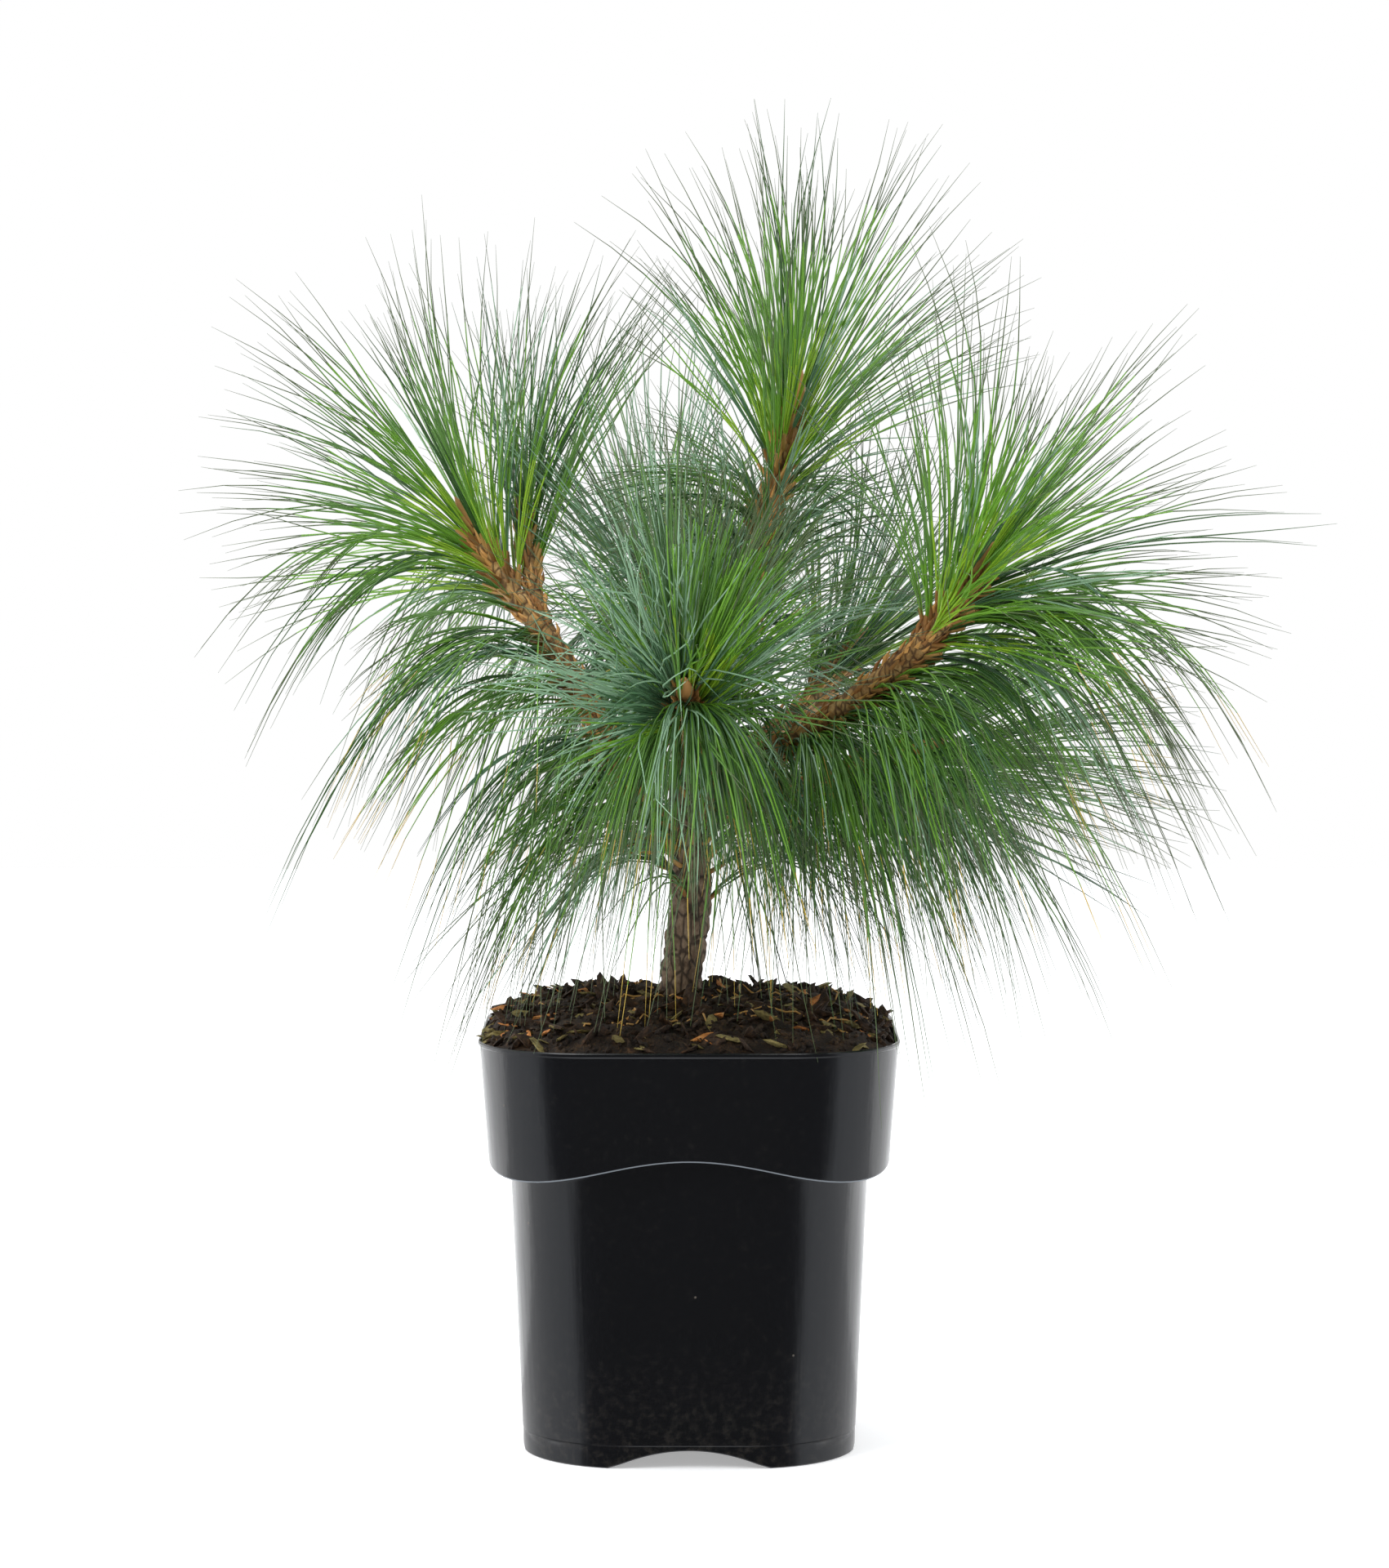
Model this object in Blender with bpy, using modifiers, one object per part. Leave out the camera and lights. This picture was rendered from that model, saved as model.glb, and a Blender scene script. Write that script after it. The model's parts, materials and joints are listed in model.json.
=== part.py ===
"""A young long-needled pine growing in a rounded-square nursery pot.

Metres, +Z up. The origin is the centre of the pot's foot, at the level it stands on.
The pot's sides face along X and Y; -Y is the front.
"""

import math
import random

import bmesh
import bpy
from mathutils import Matrix, Vector

# Clearance between pieces that touch, and the room cut round one piece in the next
GAP = 0.0003
ROOM = 0.0004

# Pot: half widths of its rounded-square outside, and the levels where they hold
RIM_HALF = 0.0950
RIM_LEVEL = 0.1890
COLLAR_HALF = 0.0905
BODY_TOP_HALF = 0.0812
FOOT_HALF = 0.0757
FOOT_LINE_LEVEL = 0.0090
CORNER_RADIUS = 0.0500
WALL = 0.0016

# The collar's lower edge is a wave: low at the corners, high at the middle of each side
COLLAR_EDGE_LEVEL = 0.1347
COLLAR_EDGE_WAVE = 0.0053
COLLAR_EDGE_DEPTH = 0.0015

# The foot band stands this little proud of the body above it, and the floor's rim tucks in under it
FOOT_LINE_STEP = 0.0002
FOOT_LINE_BEVEL = 0.0004
FLOOR_TUCK = 0.0004

# Shallow arch cut in the foot of each side
ARCH_HALF_WIDTH = 0.0355
ARCH_RISE = 0.0080

FLOOR_UNDERSIDE = 0.0090
FLOOR_TOP = 0.0112
DRAIN_RADIUS = 0.0045
DRAIN_RING = 0.0480
DRAIN_COUNT = 6
DRAIN_SIDES = 6
DRAIN_CUTTER_DEPTH = 0.0060

# Soil: a mound that rises from the rim to the foot of the trunk
SOIL_GAP = 0.0004
SOIL_RIM_LEVEL = 0.1885
SOIL_TOP_LEVEL = 0.2050
SOIL_FLAT_HALF = 0.0150
SOIL_UNEVEN = 0.0012
SOIL_RIM_TUCK = 0.0006
# Half width and level of each ring of the mound, from the rim inwards
SOIL_MOUND = [(0.0860, 0.1935), (0.0690, 0.1985), (0.0480, 0.2015), (0.0300, 0.2035)]

# Points round one rounded-square ring: straight steps on a side, arc steps at a corner
SIDE_STEPS = 4
CORNER_STEPS = 4

# Limbs: points on the centre line as x, y, z and radius, in millimetres
TRUNK = [
    (-5.0, 0, 199, 12.0),
    (-4.0, 0, 209, 9.8),
    (-2.2, 0, 225, 9.3),
    (0.8, 0, 247, 9.3),
    (0.6, 1, 270, 8.7),
    (0.0, 2, 293, 7.8),
    (1.0, 4, 315, 6.8),
    (5.0, 6, 336, 6.0),
    (20.5, 11, 361, 5.2),
    (30.5, 15, 397, 4.8),
    (37.5, 18, 429, 4.5),
    (45.5, 21, 462, 4.2),
    (49.0, 22, 474, 3.8),
]
LEFT_BOUGH = [
    (0, 0, 281, 5.6),
    (-21.5, 8, 291, 5.4),
    (-43, 27, 329, 5.1),
    (-63, 45, 362, 4.9),
    (-82, 60, 386, 4.7),
    (-97, 72, 408, 4.4),
    (-102, 76, 418, 4.0),
]
LEFT_BACK_BOUGH = [
    (-60, 42, 357, 3.8),
    (-71, 58, 380, 3.7),
    (-77, 78, 406, 3.6),
    (-80, 91, 424, 3.3),
]
RIGHT_BOUGH = [
    (4, 0, 290, 5.8),
    (33, -18, 313, 5.5),
    (62, -38, 333, 5.3),
    (98, -68, 363, 5.0),
    (119, -88, 390, 4.7),
    (125, -94, 401, 4.2),
]
FRONT_BOUGH = [
    (1, 2, 309, 5.0),
    (1, -34, 322, 4.8),
    (-1, -72, 335, 4.5),
    (-2, -96, 347, 4.0),
]
BACK_BOUGH = [
    (3, 4, 322, 4.8),
    (-3, 34, 341, 4.6),
    (-13, 66, 374, 4.3),
    (-18, 82, 396, 3.9),
]
BACK_RIGHT_BOUGH = [
    (3, 3, 303, 4.6),
    (38, 34, 322, 4.5),
    (66, 62, 346, 4.2),
    (77, 74, 360, 3.8),
]
LOW_RIGHT_BOUGH = [
    (0, 0, 282, 4.8),
    (42, 4, 296, 4.6),
    (82, 6, 307, 4.3),
    (103, 6, 316, 3.9),
]
LOW_LEFT_STUB = [
    (-2, 0, 272, 3.6),
    (-16, -6, 274, 3.3),
    (-25, -10, 275, 2.6),
]
LIMB_STEPS = 2
LIMB_ROUND = 1

# Needle masses: a small core round a shoot, with bundles of needles that stand out of it
CORE_WIDTH = 0.0200
CORE_BEYOND_LIMB = 0.0100
BUNDLE_SHORTEST = 0.80
BUNDLE_SLIM = 0.60
BUNDLE_JOINTS = (0.5, 1.0)

# Fall masses: a thin pad of hanging needles, cut into fingers along its hem
FALL_TOP_THICKNESS = 0.0060
FALL_HEM_SHARE = 0.35
FALL_ROWS = 3
FALL_FINGERS = 4
FALL_SHORTEST = 0.86
FALL_VALLEY = 0.58
CORNER_CLEARANCE = 1.6

POT_BLACK = (0.012, 0.012, 0.013)
SOIL_BROWN = (0.035, 0.022, 0.014)
BARK_BROWN = (0.150, 0.095, 0.060)
SHOOT_BROWN = (0.270, 0.140, 0.060)
NEEDLE_GREEN = (0.070, 0.170, 0.070)
NEEDLE_BLUE = (0.110, 0.200, 0.150)


def clear_scene():
    for item in list(bpy.data.objects):
        bpy.data.objects.remove(item)


def new_collection(name):
    collection = bpy.data.collections.new(name)
    bpy.context.scene.collection.children.link(collection)
    return collection


def new_material(name, colour, roughness):
    material = bpy.data.materials.new(name)
    material.use_nodes = True
    shader = material.node_tree.nodes["Principled BSDF"]
    shader.inputs["Base Color"].default_value = (*colour, 1.0)
    shader.inputs["Roughness"].default_value = roughness
    shader.inputs["Metallic"].default_value = 0.0
    return material


def millimetres(*values):
    return Vector(values) / 1000


def object_of(bm, name, material, collection):
    """A new object that takes the bmesh, with its faces turned outwards."""
    bmesh.ops.recalc_face_normals(bm, faces=bm.faces)
    mesh = bpy.data.meshes.new(name)
    bm.to_mesh(mesh)
    bm.free()
    piece = bpy.data.objects.new(name, mesh)
    if material:
        mesh.materials.append(material)
    collection.objects.link(piece)
    return piece


def make_cutter(piece):
    piece.hide_render = True
    piece.display_type = "WIRE"
    return piece


def settled_mesh(piece):
    """The mesh that the piece's modifiers or its curve give."""
    bpy.context.view_layer.update()
    graph = bpy.context.evaluated_depsgraph_get()
    return bpy.data.meshes.new_from_object(piece.evaluated_get(graph))


def shade_round(piece, degrees=40):
    piece.data.shade_smooth()
    piece.data.set_sharp_from_angle(angle=math.radians(degrees))


def square_ring(half, radius=CORNER_RADIUS):
    """Points round a rounded square, each with its share of the way from a side's middle to a corner's."""
    straight = half - radius
    quarter = straight + radius * math.pi / 4
    corner = [math.pi / 2 * k / CORNER_STEPS for k in range(CORNER_STEPS)]
    side = [
        (-straight + 2 * straight * k / SIDE_STEPS, -half) for k in range(SIDE_STEPS)
    ]
    arc = [
        (straight + radius * math.sin(a), -straight - radius * math.cos(a))
        for a in corner
    ]
    along = [abs(x) / quarter for x, _ in side]
    along += [
        (straight + radius * min(a, math.pi / 2 - a)) / quarter for a in corner
    ]
    points = []
    for turn in range(4):
        rotation = Matrix.Rotation(math.pi / 2 * turn, 2)
        for place, share in zip(side + arc, along):
            points.append((rotation @ Vector(place), share))
    return points


def collar_edge(share):
    return COLLAR_EDGE_LEVEL + COLLAR_EDGE_WAVE * math.cos(math.pi * share)


def foot_edge(share, half):
    """The foot's lower edge: on the ground at the corners, a flat arc at the middle of each side."""
    quarter = half - CORNER_RADIUS * (1 - math.pi / 4)
    across = share * quarter / ARCH_HALF_WIDTH
    if across >= 1:
        return 0.0
    return ARCH_RISE * (1 - across * across)


def loft(name, rings, material, collection):
    """A closed solid through rounded-square rings, each with its half width, level and corner radius."""
    bm = bmesh.new()
    rows = []
    for half, level, *radius in rings:
        row = []
        for place, share in square_ring(half, *radius):
            height = level(place, share) if callable(level) else level
            row.append(bm.verts.new((place.x, place.y, height)))
        rows.append(row)
    count = len(rows[0])
    for low, high in zip(rows, rows[1:]):
        for k in range(count):
            after = (k + 1) % count
            bm.faces.new((low[k], low[after], high[after], high[k]))
    bm.faces.new(rows[0][::-1])
    bm.faces.new(rows[-1])
    return object_of(bm, name, material, collection)


def pot_rings():
    """From the middle of the floor, up the inside, over the rim, down the outside and under the floor."""
    ledge = COLLAR_EDGE_DEPTH
    return [
        (FOOT_HALF - WALL, FLOOR_TOP),
        (BODY_TOP_HALF - WALL, lambda place, share: collar_edge(share)),
        (COLLAR_HALF - WALL, lambda place, share: collar_edge(share) + ledge),
        (RIM_HALF - WALL, RIM_LEVEL),
        (RIM_HALF, RIM_LEVEL),
        (COLLAR_HALF, lambda place, share: collar_edge(share)),
        (COLLAR_HALF - WALL, lambda place, share: collar_edge(share) - ledge),
        (BODY_TOP_HALF, lambda place, share: collar_edge(share) - 2 * ledge),
        (FOOT_HALF + FOOT_LINE_STEP, FOOT_LINE_LEVEL + FOOT_LINE_BEVEL),
        (FOOT_HALF, lambda place, share: foot_edge(share, FOOT_HALF)),
        (FOOT_HALF - WALL, lambda place, share: foot_edge(share, FOOT_HALF)),
        (FOOT_HALF - WALL - FLOOR_TUCK, FLOOR_UNDERSIDE),
    ]


def make_pot(material, collection, cutters):
    pot = loft("pot", pot_rings(), material, collection)
    for k in range(DRAIN_COUNT):
        turn = 2 * math.pi * k / DRAIN_COUNT
        bm = bmesh.new()
        middle = (
            DRAIN_RING * math.cos(turn),
            DRAIN_RING * math.sin(turn),
            (FLOOR_UNDERSIDE + FLOOR_TOP) / 2,
        )
        bmesh.ops.create_cone(
            bm,
            cap_ends=True,
            segments=DRAIN_SIDES,
            radius1=DRAIN_RADIUS,
            radius2=DRAIN_RADIUS,
            depth=DRAIN_CUTTER_DEPTH,
            matrix=Matrix.Translation(middle),
        )
        hole = make_cutter(object_of(bm, f"drain_{k}", None, cutters))
        cut = pot.modifiers.new(f"drain_{k}", "BOOLEAN")
        cut.operation = "DIFFERENCE"
        cut.object = hole
    shade_round(pot)
    return pot


def soil_rings():
    """From the floor up inside the pot, then over the uneven mound to the flat under the trunk."""
    chance = random.Random(4)
    inside = WALL + SOIL_GAP
    ledge = COLLAR_EDGE_DEPTH

    def mound(half, level):
        """A ring of the mound: its corners shrink with it."""

        def uneven(place, share):
            return level + chance.uniform(-SOIL_UNEVEN, SOIL_UNEVEN)

        return half, uneven, half * CORNER_RADIUS / RIM_HALF

    return [
        (FOOT_HALF - inside, FLOOR_TOP + GAP),
        (BODY_TOP_HALF - inside, lambda place, share: collar_edge(share) + SOIL_GAP),
        (COLLAR_HALF - inside, lambda place, share: collar_edge(share) + ledge + SOIL_GAP),
        (RIM_HALF - inside - SOIL_RIM_TUCK, SOIL_RIM_LEVEL),
        *[mound(half, level) for half, level in SOIL_MOUND],
        (SOIL_FLAT_HALF, SOIL_TOP_LEVEL, SOIL_FLAT_HALF * CORNER_RADIUS / RIM_HALF),
    ]


def make_soil(material, collection):
    soil = loft("soil", soil_rings(), material, collection)
    shade_round(soil, 60)
    return soil


def limb(name, route, material, collection, grow=0.0):
    """A round tapering limb along a smooth curve; grow widens it and lengthens its far end."""
    data = bpy.data.curves.new(name, "CURVE")
    data.dimensions = "3D"
    data.bevel_depth = 1.0
    data.bevel_resolution = LIMB_ROUND
    data.resolution_u = LIMB_STEPS
    data.use_fill_caps = True
    spline = data.splines.new("BEZIER")
    spline.bezier_points.add(len(route) - 1)
    places = [millimetres(x, y, z) for x, y, z, _ in route]
    places[-1] += (places[-1] - places[-2]).normalized() * grow
    for point, place, step in zip(spline.bezier_points, places, route):
        point.co = place
        point.radius = step[3] / 1000 + grow
        point.handle_left_type = "AUTO"
        point.handle_right_type = "AUTO"
    curve = bpy.data.objects.new(name + "_line", data)
    collection.objects.link(curve)
    bm = bmesh.new()
    bm.from_mesh(settled_mesh(curve))
    bpy.data.objects.remove(curve)
    bmesh.ops.remove_doubles(bm, verts=bm.verts, dist=0.00001)
    piece = object_of(bm, name, material, collection)
    shade_round(piece)
    return piece


def largest_body(bm):
    """Takes away every piece of the mesh but the one with the most faces."""
    left = set(bm.faces)
    bodies = []
    while left:
        body = {left.pop()}
        edge_of_body = list(body)
        while edge_of_body:
            face = edge_of_body.pop()
            near = {other for edge in face.edges for other in edge.link_faces} & left
            left -= near
            body |= near
            edge_of_body += near
        bodies.append(body)
    keep = max(bodies, key=len)
    loose = [face for face in bm.faces if face not in keep]
    bmesh.ops.delete(bm, geom=loose, context="FACES")


def cut_round(piece, cutters):
    """Cuts the piece round each cutter, and keeps its main body."""
    for cutter in cutters:
        cut = piece.modifiers.new(cutter.name, "BOOLEAN")
        cut.operation = "DIFFERENCE"
        cut.object = cutter
        cut.solver = "MANIFOLD"
    bm = bmesh.new()
    bm.from_mesh(settled_mesh(piece))
    piece.modifiers.clear()
    largest_body(bm)
    bm.to_mesh(piece.data)
    bm.free()


def cut_level(piece, level):
    """Cuts the piece off flat at the level, and closes the cut."""
    bm = bmesh.new()
    bm.from_mesh(piece.data)
    geometry = bm.verts[:] + bm.edges[:] + bm.faces[:]
    made = bmesh.ops.bisect_plane(
        bm, geom=geometry, plane_co=(0, 0, level), plane_no=(0, 0, 1), clear_inner=True
    )
    cut = [item for item in made["geom_cut"] if isinstance(item, bmesh.types.BMEdge)]
    bmesh.ops.edgeloop_fill(bm, edges=cut)
    bm.to_mesh(piece.data)
    bm.free()


def near(first, second):
    """Whether the two pieces' boxes meet."""
    boxes = []
    for piece in (first, second):
        points = [vertex.co for vertex in piece.data.vertices]
        low = [min(point[axis] for point in points) for axis in range(3)]
        high = [max(point[axis] for point in points) for axis in range(3)]
        boxes.append((low, high))
    (low_a, high_a), (low_b, high_b) = boxes
    return all(low_a[k] < high_b[k] and low_b[k] < high_a[k] for k in range(3))


def spray(name, material, collection, middle, axis, reach, spread=100, rear=180,
          forward=0.3, droop=0.10, core=(1.0, 1.0, 1.5), seed=1, grow=0.0):
    """Needles round a shoot: a core along the axis, with a bent spike on each face of it.

    The spikes stand on the faces that look between the rear and the spread angle of the axis, and
    lean forward along it. grow makes the whole mass that much larger all round.
    """
    chance = random.Random(seed)
    axis = Vector(axis).normalized()
    turn = Vector((0, 0, 1)).rotation_difference(axis).to_matrix().to_4x4()
    spin = Matrix.Rotation(chance.uniform(0, math.pi), 4, "Z")
    width = [CORE_WIDTH * share + grow for share in core]
    bm = bmesh.new()
    bmesh.ops.create_icosphere(bm, subdivisions=2, radius=1.0)
    bm.transform(spin)
    bm.normal_update()
    headings = {face: turn @ face.normal for face in bm.faces}
    bm.transform(Matrix.Translation(middle) @ turn @ Matrix.Diagonal((*width, 1.0)))
    for face, heading in headings.items():
        if math.radians(180 - rear) <= heading.angle(axis) < math.radians(spread):
            heading = (heading + axis * forward).normalized()
            length = reach * chance.uniform(BUNDLE_SHORTEST, 1.0)
            grow_bundle(bm, face, heading, length, droop, grow)
    return object_of(bm, name, material, collection)


def grow_bundle(bm, face, heading, length, droop, grow):
    """Draws one face of the core out into a tapering spike that bends down to its tip."""
    base = face.calc_center_median()
    corners = [vertex.co - base for vertex in face.verts]
    level = math.hypot(heading.x, heading.y)
    for share in BUNDLE_JOINTS:
        face = bmesh.ops.extrude_discrete_faces(bm, faces=[face])["faces"][0]
        sag = Vector((0, 0, -droop * length * level * share * share))
        place = base + heading * (length + grow) * share + sag
        width = (1 - share) ** BUNDLE_SLIM
        for vertex, corner in zip(face.verts, corners):
            vertex.co = place + corner * width + corner.normalized() * 2 * grow
    if not grow:
        bmesh.ops.pointmerge(bm, verts=list(face.verts), merge_co=place)


def route_point(route, share):
    """A point on the limb's route, by its share of the way between the first and last points."""
    places = [millimetres(x, y, z) for x, y, z, _ in route]
    steps = [(b - a).length for a, b in zip(places, places[1:])]
    along = share * sum(steps)
    for place, after, step in zip(places, places[1:], steps):
        if along <= step:
            return place.lerp(after, along / step)
        along -= step
    return places[-1]


def fall(name, material, collection, route, span, heading, reach, rise, drop, fingers, seed,
         grow=0.0):
    """Needles that leave one side of a limb, arch over and hang: a thin pad with a fingered hem.

    span is the stretch of the limb it hangs from; heading, reach, rise and drop hold a value
    for each end of that stretch. grow makes the pad that much larger all round.
    """
    chance = random.Random(seed)
    columns = 2 * fingers
    bm = bmesh.new()
    bmesh.ops.create_grid(bm, x_segments=columns, y_segments=FALL_ROWS, size=0.5)
    lengths = [
        chance.uniform(FALL_SHORTEST, 1.0) if column % 2 else FALL_VALLEY * chance.uniform(0.9, 1.1)
        for column in range(columns + 1)
    ]
    shares = []
    for vertex in bm.verts:
        across = vertex.co.x + 0.5
        down = (vertex.co.y + 0.5) * lengths[round(across * columns)]
        start = route_point(route, span[0] + (span[1] - span[0]) * across)
        turn = math.radians(heading[0] + (heading[1] - heading[0]) * across)
        out = Vector((math.cos(turn), math.sin(turn), 0))
        far = reach[0] + (reach[1] - reach[0]) * across
        up = rise[0] + (rise[1] - rise[0]) * across
        low = drop[0] + (drop[1] - drop[0]) * across
        height = up * down - (up + low) * down * down
        vertex.co = start + out * far * down ** 0.85 + Vector((0, 0, height))
        shares.append(down)
    piece = object_of(bm, name, material, collection)
    thick = piece.vertex_groups.new(name="thick")
    for index, share in enumerate(shares):
        thick.add([index], 1 - share, "REPLACE")
    shell = piece.modifiers.new("pad", "SOLIDIFY")
    shell.thickness = FALL_TOP_THICKNESS
    shell.offset = 0.0
    shell.vertex_group = "thick"
    shell.thickness_vertex_group = FALL_HEM_SHARE
    solid = settled_mesh(piece)
    piece.modifiers.clear()
    piece.data = solid
    widen(solid, grow)
    return piece


def widen(mesh, grow):
    """Moves each point out of the mesh, far enough to clear its faces by the given distance."""
    moves = [point.vector * grow * CORNER_CLEARANCE for point in mesh.vertex_normals]
    for vertex, move in zip(mesh.vertices, moves):
        vertex.co += move


def make_limbs(bark, shoot, collection, cutters):
    """The trunk and the boughs, each bough cut round what it grows from or passes."""
    table = [
        ("trunk", TRUNK, bark, []),
        ("left_bough", LEFT_BOUGH, shoot, ["trunk"]),
        ("left_back_bough", LEFT_BACK_BOUGH, shoot, ["left_bough"]),
        ("right_bough", RIGHT_BOUGH, shoot, ["trunk"]),
        ("low_right_bough", LOW_RIGHT_BOUGH, shoot, ["trunk", "right_bough"]),
        ("front_bough", FRONT_BOUGH, shoot, ["trunk", "right_bough"]),
        ("back_bough", BACK_BOUGH, shoot, ["trunk"]),
        ("back_right_bough", BACK_RIGHT_BOUGH, shoot, ["trunk", "back_bough", "right_bough"]),
        ("low_left_stub", LOW_LEFT_STUB, shoot, ["trunk", "left_bough"]),
    ]
    rooms = {}
    for name, route, material, parents in table:
        piece = limb(name, route, material, collection)
        if parents:
            cut_round(piece, [rooms[parent] for parent in parents])
        else:
            cut_level(piece, SOIL_TOP_LEVEL + GAP)
        rooms[name] = make_cutter(limb(name + "_room", route, None, cutters, grow=ROOM))
    return list(rooms.values())


def tufts(green, blue):
    """The open heads of needles at the ends of the shoots."""
    table = [
        ("leader_tuft", green, TRUNK, (0.05, 0.02, 1), 0.114, 96, 0.45, 3),
        ("left_tuft", green, LEFT_BOUGH, (-0.65, 0.05, 0.75), 0.138, 94, 0.3, 5),
        ("right_tuft", green, RIGHT_BOUGH, (0.55, -0.25, 0.62), 0.122, 96, 0.3, 8),
        ("front_tuft", green, FRONT_BOUGH, (0.05, -0.85, 0.5), 0.106, 90, 0.3, 9),
        ("back_tuft", blue, BACK_BOUGH, (-0.1, 0.75, 0.6), 0.118, 88, 0.3, 11),
        ("left_back_tuft", blue, LEFT_BACK_BOUGH, (0.22, 0.35, 1), 0.132, 54, 1.0, 7),
        ("low_right_tuft", green, LOW_RIGHT_BOUGH, (0.95, 0.1, 0.25), 0.110, 72, 0.4, 13),
        ("back_right_tuft", blue, BACK_RIGHT_BOUGH, (0.40, 0.70, 0.55), 0.110, 76, 0.3, 14),
    ]
    for name, material, route, axis, reach, spread, forward, seed in table:
        axis = Vector(axis).normalized()
        middle = millimetres(*route[-1][:3]) + axis * CORE_BEYOND_LIMB
        shape = dict(
            middle=middle, axis=axis, reach=reach, spread=spread, forward=forward, seed=seed
        )
        yield spray, name, material, shape


def falls(green, blue):
    """The hanging needles along the boughs."""
    table = [
        ("right_fall_outer", green, RIGHT_BOUGH, (0.55, 0.97), (-52, 0), (0.120, 0.120),
         (0.03, 0.05), (0.125, 0.110), 20),
        ("right_fall_front", green, RIGHT_BOUGH, (0.12, 0.50), (-98, -62), (0.070, 0.110),
         (0.03, 0.03), (0.118, 0.138), 21),
        ("low_right_fall_front", green, LOW_RIGHT_BOUGH, (0.35, 0.92), (-60, -20), (0.090, 0.105),
         (0.02, 0.02), (0.090, 0.110), 23),
        ("low_right_fall_back", blue, LOW_RIGHT_BOUGH, (0.35, 0.92), (85, 35), (0.085, 0.100),
         (0.02, 0.02), (0.100, 0.110), 24),
        ("left_fall_outer", green, LEFT_BOUGH, (0.55, 0.97), (218, 175), (0.125, 0.125),
         (0.05, 0.06), (0.085, 0.070), 25),
        ("left_fall_low", green, LEFT_BOUGH, (0.10, 0.50), (222, 205), (0.105, 0.120),
         (0.02, 0.03), (0.100, 0.105), 26),
        ("left_fall_back", blue, LEFT_BOUGH, (0.15, 0.85), (95, 125), (0.080, 0.110),
         (0.03, 0.05), (0.100, 0.100), 27),
        ("front_fall_left", green, FRONT_BOUGH, (0.48, 0.92), (215, 245), (0.070, 0.070),
         (0.02, 0.02), (0.125, 0.135), 28),
        ("front_fall_right", green, FRONT_BOUGH, (0.55, 0.95), (-35, -75), (0.070, 0.075),
         (0.02, 0.02), (0.135, 0.140), 29),
        ("back_fall", blue, BACK_BOUGH, (0.35, 0.90), (150, 110), (0.080, 0.085),
         (0.02, 0.03), (0.110, 0.120), 30),
        ("back_right_fall", blue, BACK_RIGHT_BOUGH, (0.25, 0.90), (110, 70), (0.070, 0.090),
         (0.02, 0.03), (0.110, 0.120), 31),
    ]
    for name, material, route, span, heading, reach, rise, drop, seed in table:
        shape = dict(route=route, span=span, heading=heading, reach=reach, rise=rise, drop=drop,
                     fingers=FALL_FINGERS, seed=seed)
        yield fall, name, material, shape


def sleeves(blue):
    """The needles that stand out all round the leader and round the foot of the crown."""
    table = [
        ("leader_sleeve", 0.74, 0.100, (100, 100), 0.35, 0.30, (1.0, 1.0, 1.2), 41),
        ("trunk_skirt", 0.20, 0.075, (105, 110), 0.10, 0.30, (1.0, 1.0, 0.8), 42),
    ]
    for name, share, reach, (spread, rear), forward, droop, core, seed in table:
        shape = dict(middle=route_point(TRUNK, share), axis=(0, 0, 1), reach=reach, spread=spread,
                     rear=rear, forward=forward, droop=droop, core=core, seed=seed)
        yield spray, name, blue, shape


def main():
    clear_scene()
    plant = new_collection("potted_pine")
    cutters = new_collection("cutters")
    plastic = new_material("pot_plastic", POT_BLACK, 0.35)
    soil = new_material("potting_soil", SOIL_BROWN, 0.95)
    bark = new_material("trunk_bark", BARK_BROWN, 0.85)
    shoot = new_material("shoot_bark", SHOOT_BROWN, 0.80)
    green = new_material("needle_green", NEEDLE_GREEN, 0.50)
    blue = new_material("needle_blue_green", NEEDLE_BLUE, 0.50)
    make_pot(plastic, plant, cutters)
    make_soil(soil, plant)
    taken = make_limbs(bark, shoot, plant, cutters)
    for make, name, material, shape in (*tufts(green, blue), *sleeves(blue), *falls(green, blue)):
        mass = make(name, material, plant, **shape)
        cut_round(mass, [room for room in taken if near(mass, room)])
        taken.append(make_cutter(make(name + "_room", None, cutters, grow=ROOM, **shape)))


main()
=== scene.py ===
"""A young long-needled pine in a rounded-square nursery pot.

Metres, +Z up, -Y is the front. Every shoot follows its route; one seeded rule grows the sprays of
needles on it, and Geometry Nodes draw each needle, sheath, scale and limb along its line.
"""

import json
import math
from dataclasses import dataclass

import bmesh
import bpy
import numpy as np
from mathutils import Euler, Matrix, Vector
from mathutils import noise as pattern


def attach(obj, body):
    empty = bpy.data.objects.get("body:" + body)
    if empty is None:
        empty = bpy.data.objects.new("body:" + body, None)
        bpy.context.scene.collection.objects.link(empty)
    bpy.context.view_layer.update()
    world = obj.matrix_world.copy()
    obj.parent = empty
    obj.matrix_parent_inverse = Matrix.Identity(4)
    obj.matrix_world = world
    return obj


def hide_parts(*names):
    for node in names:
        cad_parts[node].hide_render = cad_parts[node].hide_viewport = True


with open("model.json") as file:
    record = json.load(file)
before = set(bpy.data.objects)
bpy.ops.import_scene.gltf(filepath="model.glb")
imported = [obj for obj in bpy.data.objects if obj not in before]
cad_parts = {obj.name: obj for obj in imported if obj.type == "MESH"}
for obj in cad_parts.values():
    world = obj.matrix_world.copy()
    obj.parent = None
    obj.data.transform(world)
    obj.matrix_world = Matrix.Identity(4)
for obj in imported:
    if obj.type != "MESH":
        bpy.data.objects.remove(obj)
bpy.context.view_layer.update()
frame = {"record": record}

GOLDEN_ANGLE = math.pi * (3 - math.sqrt(5))

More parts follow.
